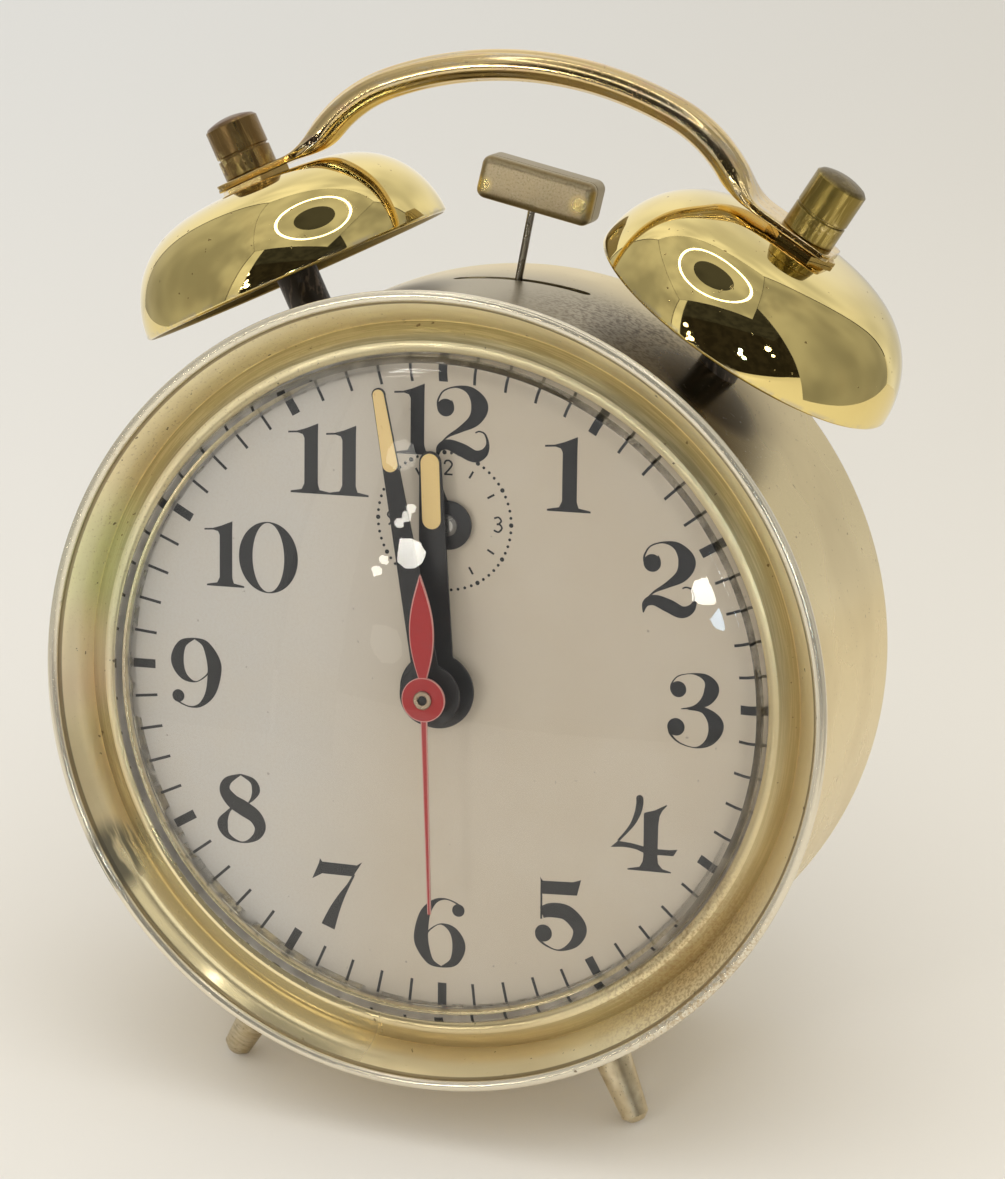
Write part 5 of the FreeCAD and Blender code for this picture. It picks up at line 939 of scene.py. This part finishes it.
def make_alarm_dial():
    """A ring of sixty dots with dashes and small plain figures inside it."""
    shapes = []
    for dot in range(60):
        turn = math.radians(6 * dot)
        radius = 0.3 if dot % 5 == 0 else 0.2
        shapes.append(disc(ALARM_DOT_CIRCLE * math.sin(turn), ALARM_DOT_CIRCLE * math.cos(turn), radius, 12))
    for hour in (1, 2, 4, 5, 7, 8, 10, 11):
        shapes.append(placed(upright_bar(0.14, 6.7, 7.75), 0, 0, 30 * hour))
    for strokes, (x, z), turn in ALARM_FIGURES:
        figure = merged([brush([(*point, ALARM_STROKE) for point in stroke]) for stroke in strokes])
        shapes.append(placed(figure, x, z, turn))
    x, z = ALARM_DIAL_CENTRE
    printed("alarm_dial_print", [placed(shape, x, z) for shape in shapes])


# Hands

HOUR_LAYER = -2.5
MINUTE_LAYER = -5.4
SECONDS_LAYER = -7.9
ALARM_LAYER = -0.9
HAND_THICKNESS = 0.3
HOUR_ANGLE = -1.8
MINUTE_ANGLE = -10.1
SECONDS_ANGLE = 178.3
ALARM_PLACE = (0.9, 21.5)
ALARM_ANGLE = -17.0


def hand_frame(angle, place=(0.0, 0.0)):
    """The frame of a hand that points along Z, turned clockwise about its place."""
    return MOVEMENT @ Matrix.Translation((place[0], 0, place[1])) @ turned(angle)


def bar_with_boss(boss, at_boss, at_tip, length, tip_round):
    """The outline of a tapered bar that grows out of a round boss."""
    start = math.asin(at_boss / 2 / boss)
    outline = [(boss * math.sin(turn), boss * math.cos(turn))
               for turn in [start + (math.tau - 2 * start) * k / 48 for k in range(49)]]
    outline.append((-at_tip / 2, length - tip_round))
    outline += arc((-at_tip / 2, length - tip_round), (0, length), (at_tip / 2, length - tip_round), 12)
    return outline


def capsule(low, high, at_low, at_high):
    """A tapered bar with round ends, as an outline."""
    bottom = low + at_low / 2
    top = high - at_high / 2
    outline = [(at_low / 2, bottom), (at_high / 2, top)]
    outline += arc((at_high / 2, top), (0, high), (-at_high / 2, top), 14)
    outline.append((-at_low / 2, bottom))
    outline += arc((-at_low / 2, bottom), (0, low), (at_low / 2, bottom), 14)[:-1]
    return outline


# Each bar: boss radius, width at the boss and at the tip, length, tip height; each lume: ends and widths
BAR_HANDS = {
    "hour": (HOUR_LAYER, HOUR_ANGLE, (5.0, 4.6, 2.95, 31.3, 1.475), (21.2, 31.0, 2.5, 2.5)),
    "minute": (MINUTE_LAYER, MINUTE_ANGLE, (4.05, 3.6, 1.75, 40.2, 1.2), (29.3, 40.0, 2.05, 1.5)),
}


def make_bar_hands():
    """Black hour and minute hands with pale lume let into their fronts."""
    half = HAND_THICKNESS / 2
    for name, (layer, angle, bar, lume) in BAR_HANDS.items():
        place = hand_frame(angle)
        body = name + "_set"
        pointer = flat_solid(bar_with_boss(*bar), layer - half, layer + half, 0.06)
        new_piece(name + "_pointer", pointer, place, HAND_BLACK, body, [name + "_hand"])
        glow = flat_solid(capsule(*lume), layer - 0.26, layer - 0.1, 0.05)
        new_piece(name + "_lume", glow, place, LUME, body)


def make_alarm_hand():
    """A short pointer on a flat hub, with a steel pin through it."""
    layer = ALARM_LAYER
    place = hand_frame(ALARM_ANGLE, ALARM_PLACE)
    hub = lathe([(0.0, layer - 0.25), (2.9, layer - 0.25), (3.2, layer - 0.1), (3.2, layer + 0.15),
                 (0.0, layer + 0.15)], steps=64)
    pointer = flat_solid([(1.2, 0), (0.35, 8.2), (-0.35, 8.2), (-1.2, 0)], layer - 0.1, layer + 0.1)
    new_piece("alarm_pointer", merged([hub, pointer]), place, HAND_BLACK, "alarm_set",
              ["alarm_hand"])
    front = layer - 0.25
    pin = lathe([(0.0, front), (1.4, front), (1.4, front - 0.3), (1.1, front - 0.45), (0.0, front - 0.5)],
                steps=48)
    new_piece("alarm_pin", pin, place, PIN_STEEL, "alarm_set")


def seconds_shapes(shrink, low, high):
    """The leaf, needle and boss of the seconds hand, drawn in by shrink, between two depths."""
    leaf = [(max(1.6 * math.sin(math.pi * (0.08 + 0.92 * share)) + 0.04 - shrink, 0.02),
             -(2.4 + (13.9 - 2 * shrink) * share)) for share in [k / 24 for k in range(25)]]
    left = [(-x, z) for x, z in reversed(leaf)]
    needle = [(-0.42 + shrink, 2.7), (-0.22 + shrink, 28.4), (0.22 - shrink, 28.4), (0.42 - shrink, 2.7)]
    return merged([flat_solid(leaf + left, high, low), flat_solid(needle, high, low),
                   flat_solid(on_circle(2.9 - shrink, 48), high - 0.04, low)])


def make_seconds_hand():
    """A leaf-shaped tail, a round boss and a thin needle, red with a pale edge, on a steel tube whose hole is a
    black disc of painted shade.
    """
    place = hand_frame(SECONDS_ANGLE)
    low, high = SECONDS_LAYER + HAND_THICKNESS / 2, SECONDS_LAYER - HAND_THICKNESS / 2
    new_piece("seconds_pointer", seconds_shapes(0.0, low, high + 0.03), place, RED_EDGE, "seconds_set",
              ["seconds_hand"])
    new_piece("seconds_paint", seconds_shapes(0.13, high + 0.03, high), place, HAND_RED, "seconds_set")
    bush = [(0.62, high), (1.2, high), (1.2, high - 0.45), (1.05, high - 0.6), (0.75, high - 0.6),
            (0.62, high - 0.5)]
    new_piece("seconds_bush", lathe(bush, steps=48), place, BUSH_BRASS, "seconds_set")
    # Painted shade: a black disc in the tube's hole
    dark = [(0.0, high - 0.07), (0.7, high - 0.07), (0.7, high), (0.0, high)]
    new_piece("seconds_hole_shade", lathe(dark, steps=32), place, HAND_BLACK, "seconds_set")


# Bells and what they carry

def bell_curve(shrink, steps):
    """Points of the bell's side from its rim to its crown; shrink is the depth below its skin."""
    points = []
    for step in range(steps + 1):
        turn = math.pi / 2 * step / steps
        radius = (BELL_RIM_RADIUS - shrink) * max(math.cos(turn), 0.0) ** (2 / BELL_SIDE_POWER)
        height = (BELL_HEIGHT - shrink) * math.sin(turn) ** (2 / BELL_CROWN_POWER)
        points.append((radius, BELL_RIM_DISTANCE + height))
    return points


def make_bell(side, name):
    """A pressed bell with a rounded rim and a hole for the stud."""
    hole = STUD_RADIUS + 0.1
    outer = [point for point in bell_curve(0.0, 96) if point[0] > hole]
    inner = [point for point in bell_curve(BELL_WALL, 48) if point[0] > hole]
    crown = BELL_RIM_DISTANCE + BELL_HEIGHT
    profile = outer + [(hole, crown), (hole, crown - BELL_WALL)] + inner[::-1]
    edge = BELL_RIM_RADIUS - BELL_WALL
    profile += arc((edge, BELL_RIM_DISTANCE), (edge + BELL_WALL / 2, BELL_RIM_DISTANCE - 0.3),
                   (BELL_RIM_RADIUS, BELL_RIM_DISTANCE), 6)[:-1]
    new_piece("bell_shell_" + name, lathe(profile, "Z", 256), bell_frame(side), bell_brass(side, name),
              "case", [name + "_bell"])


NUT_COLOURS = {"left": ((0.22, 0.14, 0.055), (0.46, 0.30, 0.11), (0.17, 0.10, 0.055)),
               "right": ((0.25, 0.185, 0.05), (0.54, 0.42, 0.14), (0.18, 0.14, 0.075))}


def make_cap_nut(side, name):
    """A round nut with a bevelled domed end and a narrow groove round it."""
    radius = CAP_NUT_RADIUS
    height = CAP_NUT_HEIGHTS[name]
    groove = TAB_TOP + CAP_NUT_GROOVE_SHARE * height
    top = TAB_TOP + height
    crown = CAP_NUT_CROWN_RADIUS
    bevel = 0.45

    def dome(reach):
        return top - crown + math.sqrt(crown ** 2 - reach ** 2)

    profile = [(0.0, TAB_TOP), (radius - 0.15, TAB_TOP), (radius, TAB_TOP + 0.15), (radius, groove - 0.08),
               (radius - 0.08, groove), (radius - 0.28, groove + 0.05), (radius - 0.28, groove + 0.25),
               (radius - 0.08, groove + 0.32), (radius, groove + 0.4), (radius, dome(radius - bevel) - bevel),
               (radius - bevel, dome(radius - bevel))]
    profile += arc((radius - bevel, dome(radius - bevel)), (radius / 2, dome(radius / 2)), (0.0, top), 12)
    colour, streak, cap = NUT_COLOURS[name]
    new_piece("cap_nut_" + name, lathe(profile, "Z", 96), bell_frame(side),
              nut_brass(side, name, colour, streak, cap), "case", [name + "_cap_nut"], 30)


def tab_point(across):
    """A point (x, z) at half the thickness of the right tab, across its bell's axis."""
    tilt = math.radians(BELL_TILT)
    along = TAB_TOP - TAB_THICKNESS / 2
    sideways = BELL_OFFSET + across
    return Vector((along * math.sin(tilt) + sideways * math.cos(tilt),
                   along * math.cos(tilt) - sideways * math.sin(tilt)))


# A station of the handle is a centre x and z, a downward slope in degrees, a half depth and a half height

def arch_stations():
    """The arch and its shoulder, from the middle to the right."""
    stations = []
    x, z = 0.0, HANDLE_TOP
    for radius, first, last, steps in ((HANDLE_ARCH_RADIUS, 0.0, HANDLE_ARCH_ANGLE, 16),
                                       (HANDLE_SHOULDER_RADIUS, HANDLE_ARCH_ANGLE, HANDLE_LEG_ANGLE, 14)):
        a, b = math.radians(first), math.radians(last)
        middle = (x - radius * math.sin(a), z - radius * math.cos(a))
        for step in range(steps):
            slope = math.radians(first + (last - first) * step / steps)
            stations.append((middle[0] + radius * math.sin(slope), middle[1] + radius * math.cos(slope),
                             math.degrees(slope), HANDLE_HALF_DEPTH, HANDLE_HALF_HEIGHT))
        x, z = middle[0] + radius * math.sin(b), middle[1] + radius * math.cos(b)
    stations.append((x, z, HANDLE_LEG_ANGLE, HANDLE_HALF_DEPTH, HANDLE_HALF_HEIGHT))
    return stations


def leg_stations(x, z):
    """A smooth curve from the shoulder's end to the tab, ever flatter and wider."""
    leg, tilt = math.radians(HANDLE_LEG_ANGLE), math.radians(BELL_TILT)
    start = Vector((x + 0.5 * math.cos(leg), z - 0.5 * math.sin(leg)))
    end = tab_point(TAB_START)
    reach = (end - start).length
    first_pull = start + Vector((math.cos(leg), -math.sin(leg))) * reach * 0.4
    second_pull = end - Vector((math.cos(tilt), -math.sin(tilt))) * reach * 0.4
    stations = []
    for step in range(1, 17):
        t = step / 16
        spot = (start * (1 - t) ** 3 + first_pull * 3 * t * (1 - t) ** 2
                + second_pull * 3 * t * t * (1 - t) + end * t ** 3)
        run = ((first_pull - start) * (1 - t) ** 2 + (second_pull - first_pull) * 2 * t * (1 - t)
               + (end - second_pull) * t * t)
        ease = t * t * (3 - 2 * t)
        stations.append((spot.x, spot.y, math.degrees(math.atan2(-run.y, run.x)),
                         HANDLE_HALF_DEPTH + (TAB_HALF_DEPTH - HANDLE_HALF_DEPTH) * ease,
                         HANDLE_HALF_HEIGHT + (TAB_THICKNESS / 2 - HANDLE_HALF_HEIGHT) * ease))
    return stations


def tab_stations():
    """The flat tab over the bell, with a rounded end."""
    widths = [(across, TAB_HALF_DEPTH) for across in (-5.0, -3.0, -1.0, 1.0, 3.2)]
    for step in range(1, 6):
        turn = math.pi / 2 * step / 5
        widths.append((TAB_END - TAB_ROUND + TAB_ROUND * math.sin(turn),
                       TAB_HALF_DEPTH - TAB_ROUND + TAB_ROUND * math.cos(turn)))
    return [(*tab_point(across), BELL_TILT, depth, TAB_THICKNESS / 2) for across, depth in widths]


HANDLE_SIDES = 64
HANDLE_CREASE = 0.045
HANDLE_CREASE_ANGLES = (2.1, 3.6, 4.2)
HANDLE_CREASE_WIDTH = 0.13
TAB_SEAM = 0.35
TAB_SQUARENESS = 0.72


def make_handle():
    """A tube bent to an arch, with long creases, pressed to a tab with a seam round its edge at each end."""
    half = arch_stations()
    half += leg_stations(*half[-1][:2]) + tab_stations()
    stations = [(-x, z, -slope, depth, height) for x, z, slope, depth, height in reversed(half[1:])] + half
    rings = []
    for x, z, slope, depth, height in stations:
        turn = math.radians(slope)
        up = (math.sin(turn), math.cos(turn))
        flat = min(1.0, max(0.0, (HANDLE_HALF_HEIGHT - height) / (HANDLE_HALF_HEIGHT - TAB_THICKNESS / 2)))
        power = 1.0 - TAB_SQUARENESS * flat
        ring = []
        for step in range(HANDLE_SIDES):
            angle = math.tau * step / HANDLE_SIDES
            c, s = math.cos(angle), math.sin(angle)
            creases = sum(math.exp(-((angle - place) / HANDLE_CREASE_WIDTH) ** 2)
                          for place in HANDLE_CREASE_ANGLES)
            pressed = 1 - HANDLE_CREASE * (1 - flat) * creases
            across = depth * math.copysign(abs(c) ** power, c) * pressed
            lift = height * math.copysign(abs(s) ** power, s) * pressed
            if step % (HANDLE_SIDES // 2) == 0:
                across -= math.copysign(TAB_SEAM * flat, c)
            ring.append((x + up[0] * lift, BELL_DEPTH + across, z + up[1] * lift))
        rings.append(ring)
    new_piece("handle_bar", tube_of_rings(rings), CASE, HANDLE_BRASS, "case", ["handle"], 50)


HEAD_CORNER = 1.25
HEAD_PILLOW = 1.15
HEAD_LINE_DEPTH = 0.14
HEAD_BACK_ROUND = 0.35


def make_hammer_head():
    """A metal block with a pillowed front, a fine parting line and nearly sharp back edges."""
    width, depth, height = (side / 2 for side in HAMMER_HEAD_SIZE)
    corner, pillow, back = HEAD_CORNER, HEAD_PILLOW, HEAD_BACK_ROUND

    def outline(shrink, y):
        points = []
        for quarter, (sx, sz) in enumerate(((1, 1), (-1, 1), (-1, -1), (1, -1))):
            for step in range(9):
                turn = math.pi / 2 * (quarter + step / 8)
                points.append((sx * (width - corner) + (corner - shrink) * math.cos(turn), y,
                               sz * (height - corner) + (corner - shrink) * math.sin(turn)))
        return points

    rings = []
    for step in range(10):
        turn = math.pi / 2 * step / 9
        rings.append(outline(pillow * (1 - math.sin(turn)), -depth + pillow * (1 - math.cos(turn))))
    seam = -depth + pillow + 0.35
    rings += [outline(0.0, seam), outline(HEAD_LINE_DEPTH, seam + 0.06), outline(HEAD_LINE_DEPTH, seam + 0.2),
              outline(0.0, seam + 0.26)]
    for step in range(5):
        turn = math.pi / 2 * step / 4
        rings.append(outline(back * (1 - math.cos(turn)), depth - back * (1 - math.sin(turn))))
    new_piece("hammer_block", tube_of_rings(rings), HAMMER, NICKEL, "hammer_set",
              ["hammer_head"], 40)


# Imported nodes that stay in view

SLOT_FINISHES = {
    "post_black": POST_BLACK, "wire_steel": STEEL, "back_plate": BACK_PLATE, "plate_brass": WHEEL_BRASS,
    "wheel_brass": WHEEL_BRASS, "gear_brass": WHEEL_BRASS, "knob_brass": KNOB_BRASS, "key_steel": STEEL,
    "spring_steel": STEEL, "movement_steel": STEEL, "nut_brass": NUT_GOLD,
}


def dress_nodes():
    """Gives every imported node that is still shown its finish."""
    slots = {entry["node"]: entry.get("material_slot") for entry in frame["record"]["subparts"]}
    feet = {name + "_foot": foot_nickel(side, name) for name, side in SIDES.items()}
    for name, node in frame["nodes"].items():
        if node.hide_render:
            continue
        node.data.materials.clear()
        node.data.materials.append(feet.get(name) or SLOT_FINISHES[slots[name]])


# Stage, light and camera, in metres

FLOOR_REACH = 4.0


def sheet(left, right, near, far, height):
    """A level rectangle."""
    corners = [(left, near, height), (right, near, height), (right, far, height), (left, far, height)]
    return corners, [[0, 1, 2, 3]]


def make_floor():
    """A pale paper floor that the clock stands on, with painted light and shade: cooler to the left, warmer to the
    right and darker farther back, most on the right.
    """
    reach = FLOOR_REACH
    mesh = new_mesh("floor", sheet(-reach, reach, -reach, reach, 0), Matrix.Identity(4))
    finish = Finish("floor_paper", Matrix.Scale(0.001, 4))
    across = finish.levels(finish.axis_value(0), -350, 350)
    away = finish.levels(finish.axis_value(1), -100, 500)
    # Painted light and shade: cooler to the left, warmer to the right, darker farther back
    cool_painted_light = finish.mix(away, rgb(0.79, 0.765, 0.72), rgb(0.745, 0.745, 0.73))
    warm_painted_light_and_shade = finish.mix(away, rgb(0.80, 0.76, 0.68), rgb(0.62, 0.57, 0.48))
    fibre = finish.noise(0.8, 3.0)
    finish.bump(fibre, 0.02)
    finish.set(Base_Color=finish.mix(across, cool_painted_light, warm_painted_light_and_shade), Roughness=finish.levels(fibre, 0.3, 0.7, 0.65, 0.8),
               Specular_IOR_Level=0.0)
    mesh.materials.append(finish.material)
    added("floor", mesh)


def area_light(name, place, aim, size, watts):
    """A soft lamp that polished surfaces don't show; the glowing cards stand for it there."""
    lamp = bpy.data.lights.new(name, "AREA")
    lamp.shape = "DISK"
    lamp.size = size
    lamp.energy = watts
    holder = added(name, lamp)
    holder.location = place
    holder.rotation_euler = (Vector(aim) - Vector(place)).to_track_quat("-Z", "Y").to_euler()
    holder.visible_glossy = False
    holder.visible_transmission = False


# A light tent round the clock, in metres. Its panels show only in polished surfaces

TENT_TURN = 6.4
TENT = Matrix.Translation((-0.005, -0.045, 0)) @ turned(TENT_TURN, "Z")
TENT_HALF = 0.23
TENT_TOP = 0.463
TENT_SEAM = 0.003
RIGHT_OPENING = 0.13
FLAP_WIDTH = 0.065
RING_PLACE = Vector((0.025, -0.046, 0.46))
RING_RADIUS = 0.165
RING_WIDTH = 0.012
PORT_RADIUS = 0.085
ROOM_REACH = 1.4
ROOM_REAR = 0.6
ROOM_TOP = 1.2


def glowing(name, shape, colour, strength, fall=0.0, place=TENT):
    """A panel that glows, a little less low down, and is seen only in polished surfaces."""
    mesh = new_mesh(name, shape, place)
    finish = Finish(name, Matrix.Identity(4))
    height = finish.levels(finish.axis_value(2), 0.0, TENT_TOP)
    uneven = finish.levels(finish.noise(5.0, 2.0), 0.35, 0.65, 0.75, 1.25)
    level = height * (strength * fall) + strength * (1 - fall)
    finish.set(Base_Color=rgb(0, 0, 0), Roughness=1.0, Specular_IOR_Level=0.0, Emission_Color=rgb(*colour),
               Emission_Strength=level * uneven)
    mesh.materials.append(finish.material)
    panel = added(name, mesh)
    for ray in ("camera", "diffuse", "transmission", "volume_scatter", "shadow"):
        setattr(panel, "visible_" + ray, False)


def wall(name, start, end, high, colour, strength, fall=0.0):
    """An upright glowing panel between two floor points."""
    corners = [(*start, 0), (*end, 0), (*end, high), (*start, high)]
    glowing(name, (corners, [[0, 1, 2, 3]]), colour, strength, fall)


def round_card(name, centre, aim, radius, inner, colour, strength, uneven=0.0):
    """A glowing disc or ring that faces a point, with an uneven edge if asked."""
    steps = 64 if uneven == 0 else 9
    turn = (Vector(aim) - Vector(centre)).to_track_quat("Z", "Y").to_matrix()
    points = []
    for ring in (radius, inner):
        for step in range(steps):
            angle = math.tau * step / steps
            reach = ring * (1 + uneven * random.uniform(-1, 1))
            spot = Vector((reach * math.cos(angle), reach * math.sin(angle), 0))
            points.append(Vector(centre) + turn @ spot)
    shape = (points, ring_faces(steps)) if inner else (points[:steps], [list(range(steps))])
    glowing(name, shape, colour, strength, 0.0, Matrix.Identity(4))


CREAM = (1.0, 0.97, 0.88)
PALE = (1.0, 0.98, 0.94)


def make_tent():
    """Walls, ceiling with a ring of light round a dark port, and a dark room before its open front."""
    half, top, gap = TENT_HALF, TENT_TOP, TENT_SEAM
    wall("tent_left", (-half, half - gap), (-half, gap - half), top - gap, CREAM, 0.48, 0.2)
    wall("tent_right", (half, RIGHT_OPENING - half), (half, half - gap), top - gap, CREAM, 0.44, 0.2)
    wall("tent_back", (half - gap, half), (gap - half, half), top - gap, PALE, 0.90, 0.2)
    wall("tent_flap", (-half + gap, -half), (-half + FLAP_WIDTH, -half), top - gap, CREAM, 0.75, 0.2)
    glowing("tent_ceiling", sheet(-half, half, -half, half, top), CREAM, 0.52)
    below = RING_PLACE - Vector((0, 0, 1))
    round_card("tent_ring", RING_PLACE, below, RING_RADIUS, RING_RADIUS - RING_WIDTH, PALE, 6.0)
    round_card("tent_port", RING_PLACE, below, PORT_RADIUS, 0.0, CREAM, 0.06)
    reach, rear = ROOM_REACH, ROOM_REAR
    corners = [(-reach, rear), (-reach, -reach), (reach, -reach), (reach, rear)]
    for number, (start, end) in enumerate(zip(corners, corners[1:] + corners[:1])):
        wall(f"room_wall_{number}", start, end, ROOM_TOP, (1.0, 0.85, 0.65), 0.025)
    glowing("room_top", sheet(-reach, reach, -reach, rear, ROOM_TOP), CREAM, 0.04)


CRYSTAL_MIDDLE = Vector((0.0, -0.022, 0.079))
LAMP_DISTANCE = 0.9
WARM_GLOW = (1.0, 0.96, 0.86)
COOL_GLOW = (0.55, 0.78, 1.0)
# Far lamps seen in the crystal and the bells: heading, height in degrees, radius in metres, strength, colour
FAR_LAMPS = ((-20.1, 16.0, 0.032, 40.0, WARM_GLOW), (-22.5, 19.2, 0.010, 35.0, WARM_GLOW),
             (-21.8, 20.3, 0.011, 35.0, WARM_GLOW), (-21.4, 21.3, 0.010, 35.0, WARM_GLOW),
             (-23.5, 14.3, 0.010, 35.0, WARM_GLOW), (-24.2, 12.7, 0.011, 35.0, WARM_GLOW),
             (19.8, 15.8, 0.031, 32.0, WARM_GLOW), (22.2, 12.2, 0.024, 30.0, COOL_GLOW),
             (20.8, 19.4, 0.026, 14.0, COOL_GLOW), (-21.2, 4.3, 0.04, 2.0, WARM_GLOW),
             (-25.0, 27.0, 0.03, 8.0, WARM_GLOW), (44.0, 23.0, 0.035, 10.0, WARM_GLOW),
             (46.0, 17.0, 0.02, 6.0, WARM_GLOW))


def make_far_lamps():
    """Bright ragged spots before the tent's open front."""
    for number, (heading, height, radius, strength, colour) in enumerate(FAR_LAMPS):
        azimuth, climb = math.radians(heading), math.radians(height)
        level = math.cos(climb)
        way = Vector((math.sin(azimuth) * level, -math.cos(azimuth) * level, math.sin(climb)))
        round_card(f"far_lamp_{number}", CRYSTAL_MIDDLE + way * LAMP_DISTANCE, CRYSTAL_MIDDLE, radius, 0.0,
                   colour, strength, 0.16)


def make_world():
    """A plain pale room."""
    world = bpy.data.worlds.new("room")
    scene.world = world
    world.use_nodes = True
    background = world.node_tree.nodes["Background"]
    background.inputs["Color"].default_value = rgb(1.0, 0.985, 0.95)
    background.inputs["Strength"].default_value = 0.95


def make_camera():
    """The photograph's viewpoint."""
    lens = bpy.data.cameras.new("camera")
    lens.lens = CAMERA_LENS
    lens.sensor_width = 36.0
    lens.clip_start = 0.01
    camera = added("camera", lens)
    look = (CAMERA_AIM - CAMERA_PLACE).to_track_quat("-Z", "Y").to_matrix().to_4x4()
    look = look @ turned(-CAMERA_ROLL, "Z")
    camera.matrix_world = Matrix.Translation(CAMERA_PLACE) @ look
    scene.camera = camera


make_camera()
make_floor()
make_world()
make_tent()
make_far_lamps()
area_light("ring_lamp", RING_PLACE - Vector((0, 0, 0.01)), (0.025, -0.046, 0), 0.33, 0.35)
area_light("left_lamp", (-0.30, -0.85, 0.34), (0, 0, 0.07), 0.12, 0.55)
area_light("right_lamp", (0.30, -0.88, 0.32), (0, 0, 0.07), 0.12, 0.8)
make_bezel()
make_drum()
make_crystal()
make_dial()
make_numerals()
make_minute_track()
make_alarm_dial()
make_bar_hands()
make_seconds_hand()
make_alarm_hand()
for name, side in SIDES.items():
    make_bell(side, name)
    make_cap_nut(side, name)
make_handle()
make_hammer_head()
dress_nodes()
scene.view_settings.view_transform = "Standard"
